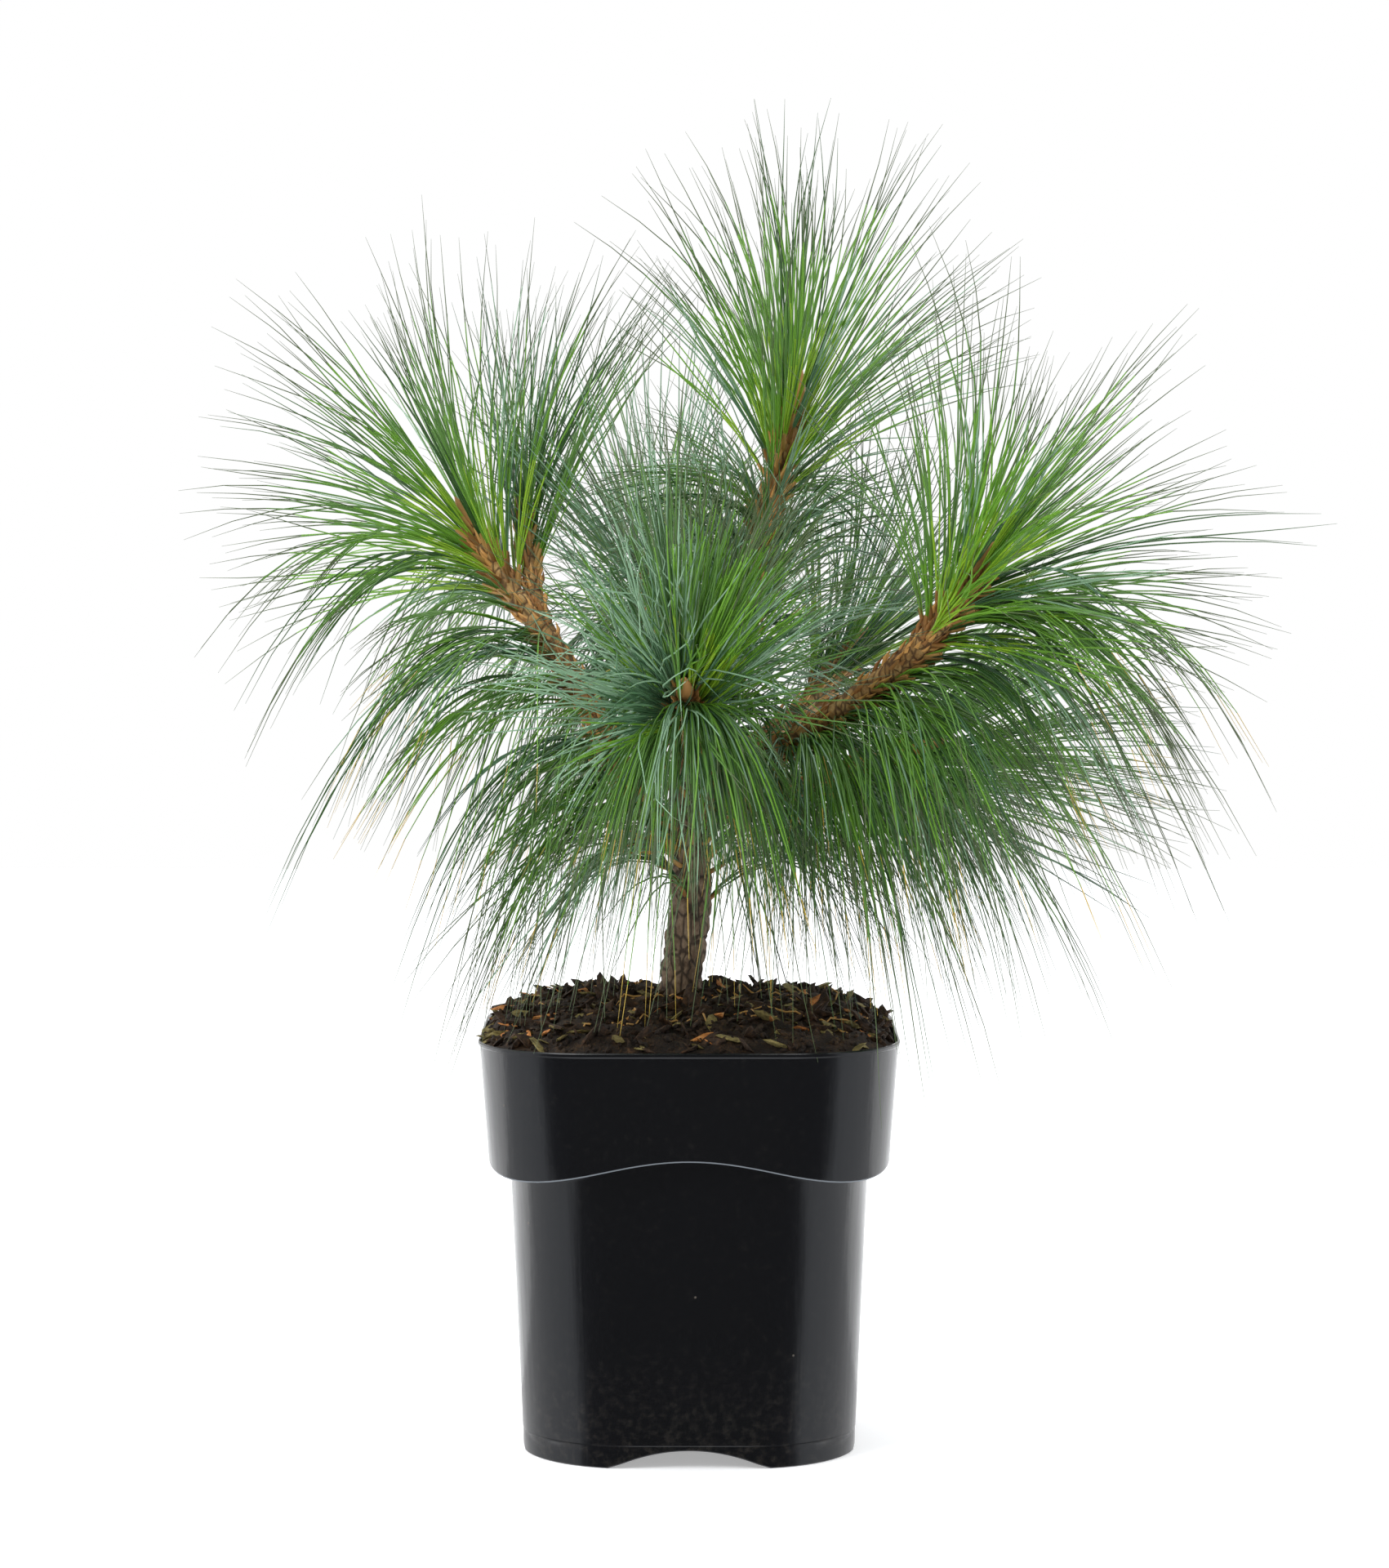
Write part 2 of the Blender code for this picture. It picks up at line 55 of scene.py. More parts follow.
# The photograph's height and focal length in pixels, and the camera that fits them: its place, its
# tilt below level in degrees and its sensor in millimetres
PHOTO_HEIGHT = 1920
FOCAL_PIXELS = 5627
CAMERA_PLACE = (0.0024, -2.1, 0.4455)
CAMERA_TILT = 3.931
SENSOR = 36.0

# Limbs: points on the centre line as x, y, z and radius, in millimetres
LIMBS = {
    "trunk": [
        (-5.0, 0, 199, 12.0), (-4.0, 0, 209, 9.8), (-2.2, 0, 225, 9.3), (0.8, 0, 247, 9.3),
        (0.6, 1, 270, 8.7), (0, 2, 293, 7.8), (1, 4, 315, 6.8), (5, 6, 336, 6.0),
        (20.5, 11, 361, 5.2), (30.5, 15, 397, 4.8), (37.5, 18, 429, 4.5), (45.5, 21, 462, 4.2),
        (49, 22, 474, 3.8),
    ],
    "left_bough": [
        (0, 0, 281, 5.6), (-21.5, 8, 291, 5.4), (-43, 27, 329, 5.1), (-63, 45, 362, 4.9),
        (-82, 60, 386, 4.7), (-97, 72, 408, 4.4), (-102, 76, 418, 4.0),
    ],
    "left_back_bough": [
        (-60, 42, 357, 3.8), (-71, 58, 380, 3.7), (-77, 78, 406, 3.6), (-80, 91, 424, 3.3),
    ],
    "right_bough": [
        (4, 0, 290, 5.8), (33, -18, 313, 5.5), (62, -38, 333, 5.3), (98, -68, 363, 5.0),
        (119, -88, 390, 4.7), (125, -94, 401, 4.2),
    ],
    "low_right_bough": [
        (0, 0, 282, 4.8), (42, 4, 296, 4.6), (82, 6, 307, 4.3), (103, 6, 316, 3.9),
    ],
    "front_bough": [
        (1, 2, 309, 5.0), (1, -34, 322, 4.8), (-1, -72, 335, 4.5), (-2, -96, 347, 4.0),
    ],
    "back_bough": [
        (3, 4, 322, 4.8), (-3, 34, 341, 4.6), (-13, 66, 374, 4.3), (-18, 82, 396, 3.9),
    ],
    "back_right_bough": [
        (3, 3, 303, 4.6), (38, 34, 322, 4.5), (66, 62, 346, 4.2), (77, 74, 360, 3.8),
    ],
    "low_left_stub": [
        (-2, 0, 272, 3.6), (-16, -6, 274, 3.3), (-25, -10, 275, 2.6),
    ],
}

# Needles: radius at the widest, joints along each, how many in one spray, and the sheath round their feet
NEEDLE_RADIUS = 0.00046
NEEDLE_JOINTS = 9
NEEDLES_IN_SPRAY = 5
SHEATH_LENGTH = 0.010
SHEATH_RADII = np.array([0.00085, 0.00120, 0.00115, 0.00085])
NEEDLE_SIDES = 3
SHEATH_SIDES = 5

# Kinds of needle spray: the finishes of its base, middle and tip, and where the tip begins
SPRAY_KINDS = [
    ("needle_lime", "needle_leaf_green", "needle_grey_green", 0.78),
    ("needle_leaf_green", "needle_mid_green", "needle_grey_green", 0.78),
    ("needle_mid_green", "needle_mid_green", "needle_grey_green", 0.70),
    ("needle_blue", "needle_pale_blue", "needle_grey_green", 0.84),
    ("needle_deep_green", "needle_deep_green", "needle_deep_green", 0.9),
    ("needle_deep_blue", "needle_blue", "needle_deep_blue", 0.7),
    ("needle_mid_green", "needle_leaf_green", "needle_straw_tip", 0.93),
]
# The share of a needle's length where its base colour ends
MIDDLE_FROM = 0.36

# Seeds: each mass has its own, and so has each kind of small part
FIRST_TUFT_SEED = 100
FIRST_FALL_SEED = 200
FIRST_SLEEVE_SEED = 300
SCALE_SEED = 7
LITTER_SEED = 9


# Node trees and shader maths

class Number:
    """A socket that carries a number. Arithmetic on it adds the Math nodes."""

    def __init__(self, nodes, socket):
        self.nodes = nodes
        self.socket = socket

    def math(self, operation, *values):
        settings = {"operation": operation}
        inputs = dict(enumerate(values))
        return self.nodes.make("ShaderNodeMath", settings, inputs).number()

    def __add__(self, other):
        return self.math("ADD", self, other)

    def __radd__(self, other):
        return self.math("ADD", other, self)

    def __sub__(self, other):
        return self.math("SUBTRACT", self, other)

    def __rsub__(self, other):
        return self.math("SUBTRACT", other, self)

    def __mul__(self, other):
        return self.math("MULTIPLY", self, other)

    def __rmul__(self, other):
        return self.math("MULTIPLY", other, self)

    def above(self, edge, softness):
        """0 under the edge and 1 over it, with a ramp of the given softness."""
        made = self.nodes.make(
            "ShaderNodeMapRange",
            {"interpolation_type": "SMOOTHSTEP"},
            {"Value": self, "From Min": edge - softness, "From Max": edge + softness},
        )
        return made.number("Result")

    def under(self, edge, softness):
        return 1 - self.above(edge, softness)


class Made:
    """A node that has just been made."""

    def __init__(self, nodes, node):
        self.nodes = nodes
        self.node = node

    def out(self, name=0):
        return self.node.outputs[name]

    def number(self, name=0):
        return Number(self.nodes, self.out(name))


class Nodes:
    """Makes nodes in one tree."""

    def __init__(self, tree):
        self.tree = tree

    def make(self, kind, settings=None, inputs=None):
        node = self.tree.nodes.new(kind)
        for name, value in (settings or {}).items():
            if name == "stops":
                self.set_stops(node.color_ramp, value)
            else:
                setattr(node, name, value)
        for name, value in (inputs or {}).items():
            self.feed(node.inputs[name], value)
        return Made(self, node)

    def feed(self, socket, value):
        if isinstance(value, Number):
            value = value.socket
        if isinstance(value, Made):
            value = value.out()
        if isinstance(value, bpy.types.NodeSocket):
            self.tree.links.new(value, socket)
        else:
            socket.default_value = value

    def set_stops(self, ramp, stops):
        while len(ramp.elements) < len(stops):
            ramp.elements.new(1.0)
        for element, (place, colour) in zip(ramp.elements, stops):
            element.position = place
            element.color = colour

    def ramp(self, factor, stops):
        made = self.make("ShaderNodeValToRGB", {"stops": stops}, {"Fac": factor})
        return made.out("Color")

    def blend(self, factor, first, second):
        inputs = {0: factor, 6: first, 7: second}
        return self.make("ShaderNodeMix", {"data_type": "RGBA"}, inputs).out(2)

    def noise(self, place, scale, detail, roughness, stretch=None):
        if stretch:
            place = self.make("ShaderNodeMapping", None, {"Vector": place, "Scale": stretch})
        inputs = {"Vector": place, "Scale": scale, "Detail": detail, "Roughness": roughness}
        return self.make("ShaderNodeTexNoise", None, inputs).number("Fac")

    def edges(self, place, scale):
        """The distance to the nearest edge between the cells of a cracked pattern."""
        settings = {"feature": "DISTANCE_TO_EDGE"}
        made = self.make("ShaderNodeTexVoronoi", settings, {"Vector": place, "Scale": scale})
        return made.number("Distance")


# Materials

def srgb(red, green, blue):
    """The linear colour of an 8-bit screen colour, with full alpha."""
    linear = [
        c / 12.92 if c <= 0.04045 else ((c + 0.055) / 1.055) ** 2.4
        for c in (red / 255, green / 255, blue / 255)
    ]
    return (*linear, 1.0)


def shades(*stops):
    """The stops of a colour ramp, from each one's place and 8-bit screen colour."""
    return [(place, srgb(*colour)) for place, *colour in stops]


def blank_material(name):
    material = bpy.data.materials.new(name)
    material.use_nodes = True
    shader = material.node_tree.nodes["Principled BSDF"]
    return material, Nodes(material.node_tree), shader


def plain_material(name, colour, roughness):
    material, _, shader = blank_material(name)
    shader.inputs["Base Color"].default_value = srgb(*colour)
    shader.inputs["Roughness"].default_value = roughness
    return material


def surface(nodes, shader, colour, roughness, height, strength, distance):
    """Feeds a shader its colour, its roughness and the bumps of its relief."""
    bump = {"Height": height, "Strength": strength, "Distance": distance}
    nodes.feed(shader.inputs["Base Color"], colour)
    nodes.feed(shader.inputs["Roughness"], roughness)
    nodes.feed(shader.inputs["Normal"], nodes.make("ShaderNodeBump", None, bump))


NEEDLE_COLOURS = {
    "needle_lime": (148, 188, 52),
    "needle_leaf_green": (106, 156, 48),
    "needle_mid_green": (90, 132, 58),
    "needle_deep_green": (56, 92, 42),
    "needle_blue": (90, 128, 94),
    "needle_pale_blue": (132, 166, 134),
    "needle_deep_blue": (62, 94, 66),
    "needle_grey_green": (80, 96, 60),
    "needle_straw_tip": (196, 166, 66),
}


def bark_material(name, plates, gap, ridge):
    """Flaking bark: plates of several browns, darker in the cracks between them."""
    material, nodes, shader = blank_material(name)
    place = nodes.make("ShaderNodeTexCoord").out("Object")
    broad = nodes.noise(place, scale=90, detail=4, roughness=0.6)
    fine = nodes.noise(place, scale=900, detail=4, roughness=0.65, stretch=(1, 1, 0.35))
    drawn_out = nodes.make("ShaderNodeMapping", None, {"Vector": place, "Scale": (1, 1, 0.45)})
    crack = nodes.edges(drawn_out, scale=260).under(0.10, softness=0.08)
    plate = nodes.ramp(broad * 0.6 + fine * 0.4, plates)
    colour = nodes.blend(crack * 0.75, plate, gap)
    height = fine * 0.6 + broad * 0.3 - crack * 0.5
    surface(nodes, shader, colour, 0.72 + fine * 0.2, height, strength=0.7, distance=ridge)
    return material


def soil_material(name, stops, grain):
    """Damp peat or bark: clumps with crumbs of the given grain."""
    material, nodes, shader = blank_material(name)
    place = nodes.make("ShaderNodeTexCoord").out("Object")
    clump = nodes.noise(place, scale=140, detail=5, roughness=0.65)
    crumb = nodes.noise(place, scale=grain, detail=4, roughness=0.6)
    colour = nodes.ramp(clump * 0.5 + crumb * 0.5, stops)
    height = crumb + clump * 0.6
    surface(nodes, shader, colour, 0.75 + crumb * 0.25, height, strength=0.9, distance=0.0012)
    return material


# The edges of the faint worn panel on the pot's collar, and the plane that it lies in front of
PANEL_LEFT = -0.050
PANEL_RIGHT = 0.040
PANEL_LOW = 0.137
PANEL_HIGH = 0.184
PANEL_EDGE = 0.0004
PANEL_BACK = -0.07
# Grime gathers round this level, near the pot's foot
GRIME_LEVEL = 0.035


def pot_material():
    """Black moulded plastic with dust, fine flow marks, a few scuffs and one faint worn panel."""
    material, nodes, shader = blank_material("pot_plastic")
    place = nodes.make("ShaderNodeTexCoord").out("Object")
    axes = nodes.make("ShaderNodeSeparateXYZ", None, {0: place})
    across, depth, level = (axes.number(name) for name in "XYZ")
    cloud = nodes.noise(place, scale=22, detail=4, roughness=0.6)
    dust = nodes.noise(place, scale=260, detail=3, roughness=0.7)
    flow = nodes.noise(place, scale=300, detail=2, roughness=0.5, stretch=(1, 1, 0.03))
    panel = across.above(PANEL_LEFT, PANEL_EDGE) * across.under(PANEL_RIGHT, PANEL_EDGE)
    panel = panel * level.above(PANEL_LOW, PANEL_EDGE) * level.under(PANEL_HIGH, PANEL_EDGE)
    panel = panel * depth.under(PANEL_BACK, softness=0.002)
    spots = nodes.make("ShaderNodeTexVoronoi", None, {"Vector": place, "Scale": 75}).number("Distance")
    speck = spots.under(0.045, softness=0.02) * cloud.above(0.52, softness=0.04)
    grime = level.under(GRIME_LEVEL, softness=0.03) * dust.above(0.56, softness=0.12)
    dusty = dust.above(0.66, softness=0.12) * 0.03 + speck * 0.6 + grime * 0.06
    colour = nodes.blend(dusty, srgb(10, 11, 14), srgb(112, 104, 92))
    rough = 0.14 + cloud * 0.08 + dust * 0.04 + speck * 0.3 + panel * 0.05
    height = flow * 0.5 + cloud * 1.5 + dust * 0.15
    surface(nodes, shader, colour, rough, height, strength=0.25, distance=0.0006)
    return material


PLATES_GREY = shades((0.25, 58, 44, 36), (0.45, 104, 84, 66), (0.60, 142, 122, 100), (0.78, 96, 72, 52))
PLATES_ORANGE = shades((0.25, 84, 62, 36), (0.45, 140, 104, 58), (0.60, 184, 150, 98), (0.78, 118, 92, 56))
SOIL_BROWNS = shades((0.34, 12, 8, 5), (0.50, 34, 24, 15), (0.64, 66, 48, 28), (0.76, 74, 68, 24))
CHIP_DARKS = shades((0.35, 20, 14, 9), (0.52, 52, 36, 22), (0.68, 92, 66, 42))
CHIP_OLIVES = shades((0.35, 58, 50, 22), (0.52, 120, 108, 62), (0.68, 146, 132, 92))
CHIP_ORANGES = shades((0.35, 112, 66, 28), (0.52, 186, 120, 60), (0.68, 206, 160, 104))

NEEDLE_ROUGHNESS = 0.30
# Small plain parts: colour and roughness
SMALL_FINISHES = {
    "sheath": ((186, 142, 80), 0.60),
    "sheath_dark": ((146, 102, 54), 0.65),
    "scale": ((202, 150, 84), 0.60),
    "scale_dark": ((150, 104, 56), 0.70),
    "bud": ((182, 132, 78), 0.55),
    "dry_needle": ((168, 128, 70), 0.60),
}
SMALL_KINDS = {name: number for number, name in enumerate(SMALL_FINISHES)}

finish = {
    name: plain_material(name, colour, NEEDLE_ROUGHNESS) for name, colour in NEEDLE_COLOURS.items()
}
for name, (colour, roughness) in SMALL_FINISHES.items():
    finish[name] = plain_material(name, colour, roughness)
finish["trunk_bark"] = bark_material("trunk_bark", PLATES_GREY, srgb(34, 25, 20), ridge=0.0012)
finish["shoot_bark"] = bark_material("shoot_bark", PLATES_ORANGE, srgb(62, 36, 22), ridge=0.0009)
finish["soil"] = soil_material("soil", SOIL_BROWNS, grain=900)
finish["chip_dark"] = soil_material("chip_dark", CHIP_DARKS, grain=500)
finish["chip_olive"] = soil_material("chip_olive", CHIP_OLIVES, grain=500)
finish["chip_orange"] = soil_material("chip_orange", CHIP_ORANGES, grain=500)
finish["pot_plastic"] = pot_material()
# A pale bluish grey for the collar's lower edge: a painted highlight line, not wear
finish["pot_worn_edge"] = plain_material("pot_worn_edge", (104, 110, 116), 0.35)


# Pieces

def link(name, data):
    """A new object in the scene."""
    made = bpy.data.objects.new(name, data)
    bpy.context.scene.collection.objects.link(made)
    return made


def drop_unused_slots(mesh):
    """Leaves only the materials that a face wears."""
    worn = np.empty(len(mesh.polygons), np.int32)
    mesh.polygons.foreach_get("material_index", worn)
    used = np.unique(worn)
    materials = [mesh.materials[k] for k in used]
    mesh.materials.clear()
    for material in materials:
        mesh.materials.append(material)
    mesh.polygons.foreach_set("material_index", np.searchsorted(used, worn).astype(np.int32))


def drop_attributes(mesh, *labels):
    for label in labels:
        mesh.attributes.remove(mesh.attributes[label])


def settle(piece, name):
    """A plain object in the piece's place, with the mesh that its modifiers give."""
    bpy.context.view_layer.update()
    graph = bpy.context.evaluated_depsgraph_get()
    mesh = bpy.data.meshes.new_from_object(piece.evaluated_get(graph))
    mesh.name = name
    bpy.data.objects.remove(piece)
    return link(name, mesh)


def hand_in(piece, slot, *nodes):
    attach(piece, "root")
    if nodes:
        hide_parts(*nodes)


def new_group(name, inputs):
    """A Geometry Nodes tree, its maker, and the identifier of each named input."""
    tree = bpy.data.node_groups.new(name, "GeometryNodeTree")
    tree.interface.new_socket("Geometry", in_out="INPUT", socket_type="NodeSocketGeometry")
    tree.interface.new_socket("Geometry", in_out="OUTPUT", socket_type="NodeSocketGeometry")
    keys = {}
    for label, kind, value in inputs:
        socket = tree.interface.new_socket(label, in_out="INPUT", socket_type=kind)
        if value is not None:
            socket.default_value = value
        keys[label] = socket.identifier
    return tree, Nodes(tree), keys


def run_group(piece, group, **values):
    tree, keys = group
    modifier = piece.modifiers.new(tree.name, "NODES")
    modifier.node_group = tree
    for label, value in values.items():
        modifier[keys[label]] = value


def attribute(nodes, name, kind="FLOAT"):
    made = nodes.make("GeometryNodeInputNamedAttribute", {"data_type": kind}, {"Name": name})
    return made.out("Attribute")


# A Compare node has its own pair of sockets for each kind of number
COMPARE_SOCKETS = {"FLOAT": (0, 1), "INT": (2, 3)}


def compare(nodes, kind, operation, first, second):
    one, two = COMPARE_SOCKETS[kind]
    settings = {"data_type": kind, "operation": operation}
    return nodes.make("FunctionNodeCompare", settings, {one: first, two: second})


def thick_curves(nodes, mesh):
    """Curves along a mesh's edges, each point as thick as its own attribute says."""
    curves = nodes.make("GeometryNodeMeshToCurve", None, {"Mesh": mesh})
    thickness = attribute(nodes, "thickness")
    return nodes.make("GeometryNodeSetCurveRadius", None, {"Curve": curves, "Radius": thickness})


def round_stems(nodes, curves, sides):
    """A closed round stem along each curve."""
    ring = nodes.make("GeometryNodeCurvePrimitiveCircle", None, {"Resolution": sides, "Radius": 1.0})
    radius = nodes.make("GeometryNodeInputRadius")
    inputs = {"Curve": curves, "Profile Curve": ring, "Scale": radius, "Fill Caps": True}
    return nodes.make("GeometryNodeCurveToMesh", None, inputs)


def sweep_group(name, zones):
    """Draws a tapering round stem along every line; zones are (kind, least share, material)."""
    tree, nodes, keys = new_group(name, [("Sides", "NodeSocketInt", 3)])
    given = nodes.make("NodeGroupInput")
    stems = round_stems(nodes, thick_curves(nodes, given.out("Geometry")), given.out("Sides"))
    smooth = nodes.make("GeometryNodeSetShadeSmooth", None, {0: stems})
    shape = nodes.make("GeometryNodeRealizeInstances", None, {0: smooth})
    kind = attribute(nodes, "kind", "INT")
    share = attribute(nodes, "share")
    for number, least, material in zones:
        same = compare(nodes, "INT", "EQUAL", kind, number)
        beyond = compare(nodes, "FLOAT", "GREATER_EQUAL", share, least)
        chosen = nodes.make("FunctionNodeBooleanMath", {"operation": "AND"}, {0: same, 1: beyond})
        inputs = {"Geometry": shape, "Selection": chosen, "Material": material}
        shape = nodes.make("GeometryNodeSetMaterial", None, inputs)
    nodes.make("NodeGroupOutput", None, {"Geometry": shape})
    return tree, keys


class Lines:
    """Lines that stems are drawn along: points, thickness at each point, and each line's kind."""

    def __init__(self):
        self.points = []
        self.thickness = []
        self.kinds = []

    def add(self, points, thickness, kinds):
        """points is (lines, joints, 3), thickness is (joints,), kinds is one number or one for each line."""
        count, joints = points.shape[:2]
        self.points.append(points)
        self.thickness.append(np.broadcast_to(thickness, (count, joints)))
        self.kinds.append(np.broadcast_to(kinds, (count,)))

    def draw(self, name, group, sides):
        points = np.concatenate([p.reshape(-1, 3) for p in self.points])
        thickness = np.concatenate([t.reshape(-1) for t in self.thickness])
        kinds = [np.repeat(k, p.shape[1]) for k, p in zip(self.kinds, self.points)]
        shares = [np.tile(np.linspace(0, 1, p.shape[1]), len(p)) for p in self.points]
        edges, start = [], 0
        for block in self.points:
            count, joints = block.shape[:2]
            first = (np.arange(count)[:, None] * joints + np.arange(joints - 1)).reshape(-1) + start
            edges.append(np.stack([first, first + 1], 1))
            start += count * joints
        mesh = bpy.data.meshes.new(name)
        edges = np.concatenate(edges)
        mesh.vertices.add(len(points))
        mesh.edges.add(len(edges))
        mesh.vertices.foreach_set("co", points.astype(np.float32).reshape(-1))
        mesh.edges.foreach_set("vertices", edges.astype(np.int32).reshape(-1))
        for label, kind, values in (
            ("thickness", "FLOAT", thickness),
            ("share", "FLOAT", np.concatenate(shares)),
            ("kind", "INT", np.concatenate(kinds)),
        ):
            mesh.attributes.new(label, kind, "POINT").data.foreach_set("value", values)
        piece = link(name + "_lines", mesh)
        run_group(piece, group, Sides=sides)
        piece = settle(piece, name)
        drop_attributes(piece.data, "thickness", "share", "kind")
        drop_unused_slots(piece.data)
        return piece


# Growth

STEPS_BETWEEN_POINTS = 16
# A limb's heading is read across this distance to either side
HEADING_STEP = 0.003
# A needle's outline: its thickness at the foot, the share where it is full, and how its tip runs out
FOOT_THICKNESS = 0.82
FULL_FROM = 0.15
TIP_POWER = 1.6

def unit(vectors):
    return vectors / np.maximum(np.linalg.norm(vectors, axis=-1, keepdims=True), 1e-9)


class Shoot:
    """A limb's centre line, read at any share of its length."""

    def __init__(self, route):
        """Runs a smooth curve through the route's points, which are in millimetres."""
        route = np.array(route, float) / 1000
        ends = np.vstack([2 * route[0] - route[1], route, 2 * route[-1] - route[-2]])
        rows = []
        for a, b, c, d in zip(ends, ends[1:], ends[2:], ends[3:]):
            t = np.linspace(0, 1, STEPS_BETWEEN_POINTS, endpoint=False)[:, None]
            rows.append(0.5 * (2 * b + (c - a) * t + (2 * a - 5 * b + 4 * c - d) * t ** 2
                               + (3 * b - a - 3 * c + d) * t ** 3))
        rows.append(route[-1:])
        line = np.vstack(rows)
        self.line, self.radii = line[:, :3], line[:, 3]
        steps = np.linalg.norm(np.diff(self.line, axis=0), axis=1)
        self.along = np.concatenate([[0], np.cumsum(steps)])
        self.length = self.along[-1]

    def at(self, shares):
        along = np.clip(np.asarray(shares, float), 0, 1) * self.length
        return np.stack([np.interp(along, self.along, self.line[:, k]) for k in range(3)], -1)

    def radius(self, shares):
        return np.interp(np.clip(shares, 0, 1) * self.length, self.along, self.radii)

    def heading(self, shares):
        shares = np.asarray(shares, float)
        step = HEADING_STEP / self.length
        low = np.clip(shares - step, 0, 1)
        high = np.clip(shares + step, 0, 1)
        return unit(self.at(high) - self.at(low))


def square_to(directions):
    """Two unit vectors at right angles to each direction and to each other."""
    directions = np.atleast_2d(directions)
    helper = np.where(np.abs(directions[:, 2:3]) < 0.9, [[0.0, 0.0, 1.0]], [[1.0, 0.0, 0.0]])
    first = unit(np.cross(directions, helper))
    return first, np.cross(directions, first)


def tapered(joints, tip_from=0.50, tip=0.14):
    """The thickness of a needle at each joint, as a share of its widest."""
    share = np.linspace(0, 1, joints)
    body = np.minimum(1, FOOT_THICKNESS + (1 - FOOT_THICKNESS) * share / FULL_FROM)
    point = np.clip((share - tip_from) / (1 - tip_from), 0, 1)
    return body * (1 - (1 - tip) * point ** TIP_POWER)


# Foliage grows to these rules. A pair is the least and the most of an even chance, and a name that ends
# in VARIES is a standard deviation.

# Where a spray leaves a limb, as a share of its radius there
ROOTED = 0.75
# A tuft's cap is centred this far past the end of its shoot
CAP_AHEAD = 0.010
# Its sprays stand this far behind that end: the first, the last, and by how much each strays
BEHIND_FIRST = 0.002
BEHIND_LAST = 0.040
BEHIND_STRAYS = 0.003
# The sprays of a sleeve stand this far to either side of its middle
SLEEVE_HALF = 0.03
TURN_VARIES = 0.45
COSINE_VARIES = 0.07
# Most needles are long: the two shapes of the beta chance, and the longest as a share of the reach
LENGTH_SHAPES = (1.6, 1.1)
LONGEST = 1.04
# Lengths are measured from the centre of the cap, so this much is added
LENGTH_TO_CAP = 0.022
# How strongly a needle sets out along the limb, and where along it the bend lies
FOLLOWS_LIMB = 0.8
BEND_AT = 0.45
START_VARIES = 0.06
# How far the needles of a spray part, as a share of the tuft's scatter, and their lengths
PARTING = 0.62
NEEDLE_LENGTHS = (0.86, 1.03)
DROOPS = (0.3, 1.7)
# A needle's slight wave: half turns along it, and its size
WAVE_TURNS = 2.2
WAVE_SIZES = (0.2, 1.0)
# A sheath starts this share of its length inside the bark
SHEATH_FROM = -0.15

# Hanging sprays: shares of the place, reach, rise and drop that the table of falls gives
FALL_PLACES = (-0.03, 1.03)
FALL_REACHES = (0.70, 1.12)
FALL_RISES = (0.3, 1.9)
FALL_DROPS = (0.62, 1.06)
# How much of its arc a spray has grown, and one needle beside the rest of its spray
FALL_GROWN = (0.62, 1.0)
FALL_NEEDLE_GROWN = (0.9, 1.04)
# How far a spray and its needles stray from their heading, in degrees
FALL_TURN_VARIES = 16
FALL_NEEDLE_TURN_VARIES = 12
# The way out along an arc slows with this power
FALL_OUT_POWER = 0.85
# A hanging needle's wave and bend, and the radians that the wave runs through
FALL_WAVE_VARIES = 0.0032
FALL_BEND_VARIES = 0.0080
FALL_WAVE_RADIANS = 6


@dataclass
class Tuft:
    """Sprays round the end of a limb or, with a share under 1, a sleeve round it at that share."""

    mass: str
    limb: str
    axis: tuple
    reach: float
    # Half angle of the cap that the tips lie on, in degrees
    outer: float
    # How far every needle is swept towards the axis
    forward: float
    count: int
    weights: tuple
    # Half angle round the axis that stays bare, in degrees
    inner: float = 0
    droop: float = 0.10
    share: float = 1.0
    scatter: float = 0.19
    wave: float = 0.0030
    # The shortest needle, as a share of the reach
    shortest: float = 0.52


@dataclass
class Fall:
    """Sprays that leave one side of a limb, arch over and hang.

    Each pair holds the values at the two ends of the span, which is in shares of the limb's length;
    the headings are in degrees from +X.
    """

    mass: str
    limb: str
    span: tuple
    heading: tuple
    reach: tuple
    rise: tuple
    drop: tuple
    count: int
    weights: tuple


def level_directions(turn):
    """Unit vectors at the given turns round +Z."""
    return np.stack([np.cos(turn), np.sin(turn), np.zeros(len(turn))], -1)


def per_needle(values):
    """Each spray's value, repeated for its needles."""
    return np.repeat(values, NEEDLES_IN_SPRAY, axis=0)


def rooted(shoot, stand, direction):
    """Points in the bark, on the side of the limb that the directions point to."""
    grown = shoot.heading(stand)
    outward = unit(direction - grown * (direction * grown).sum(1, keepdims=True))
    return shoot.at(stand) + outward * shoot.radius(stand)[:, None] * ROOTED


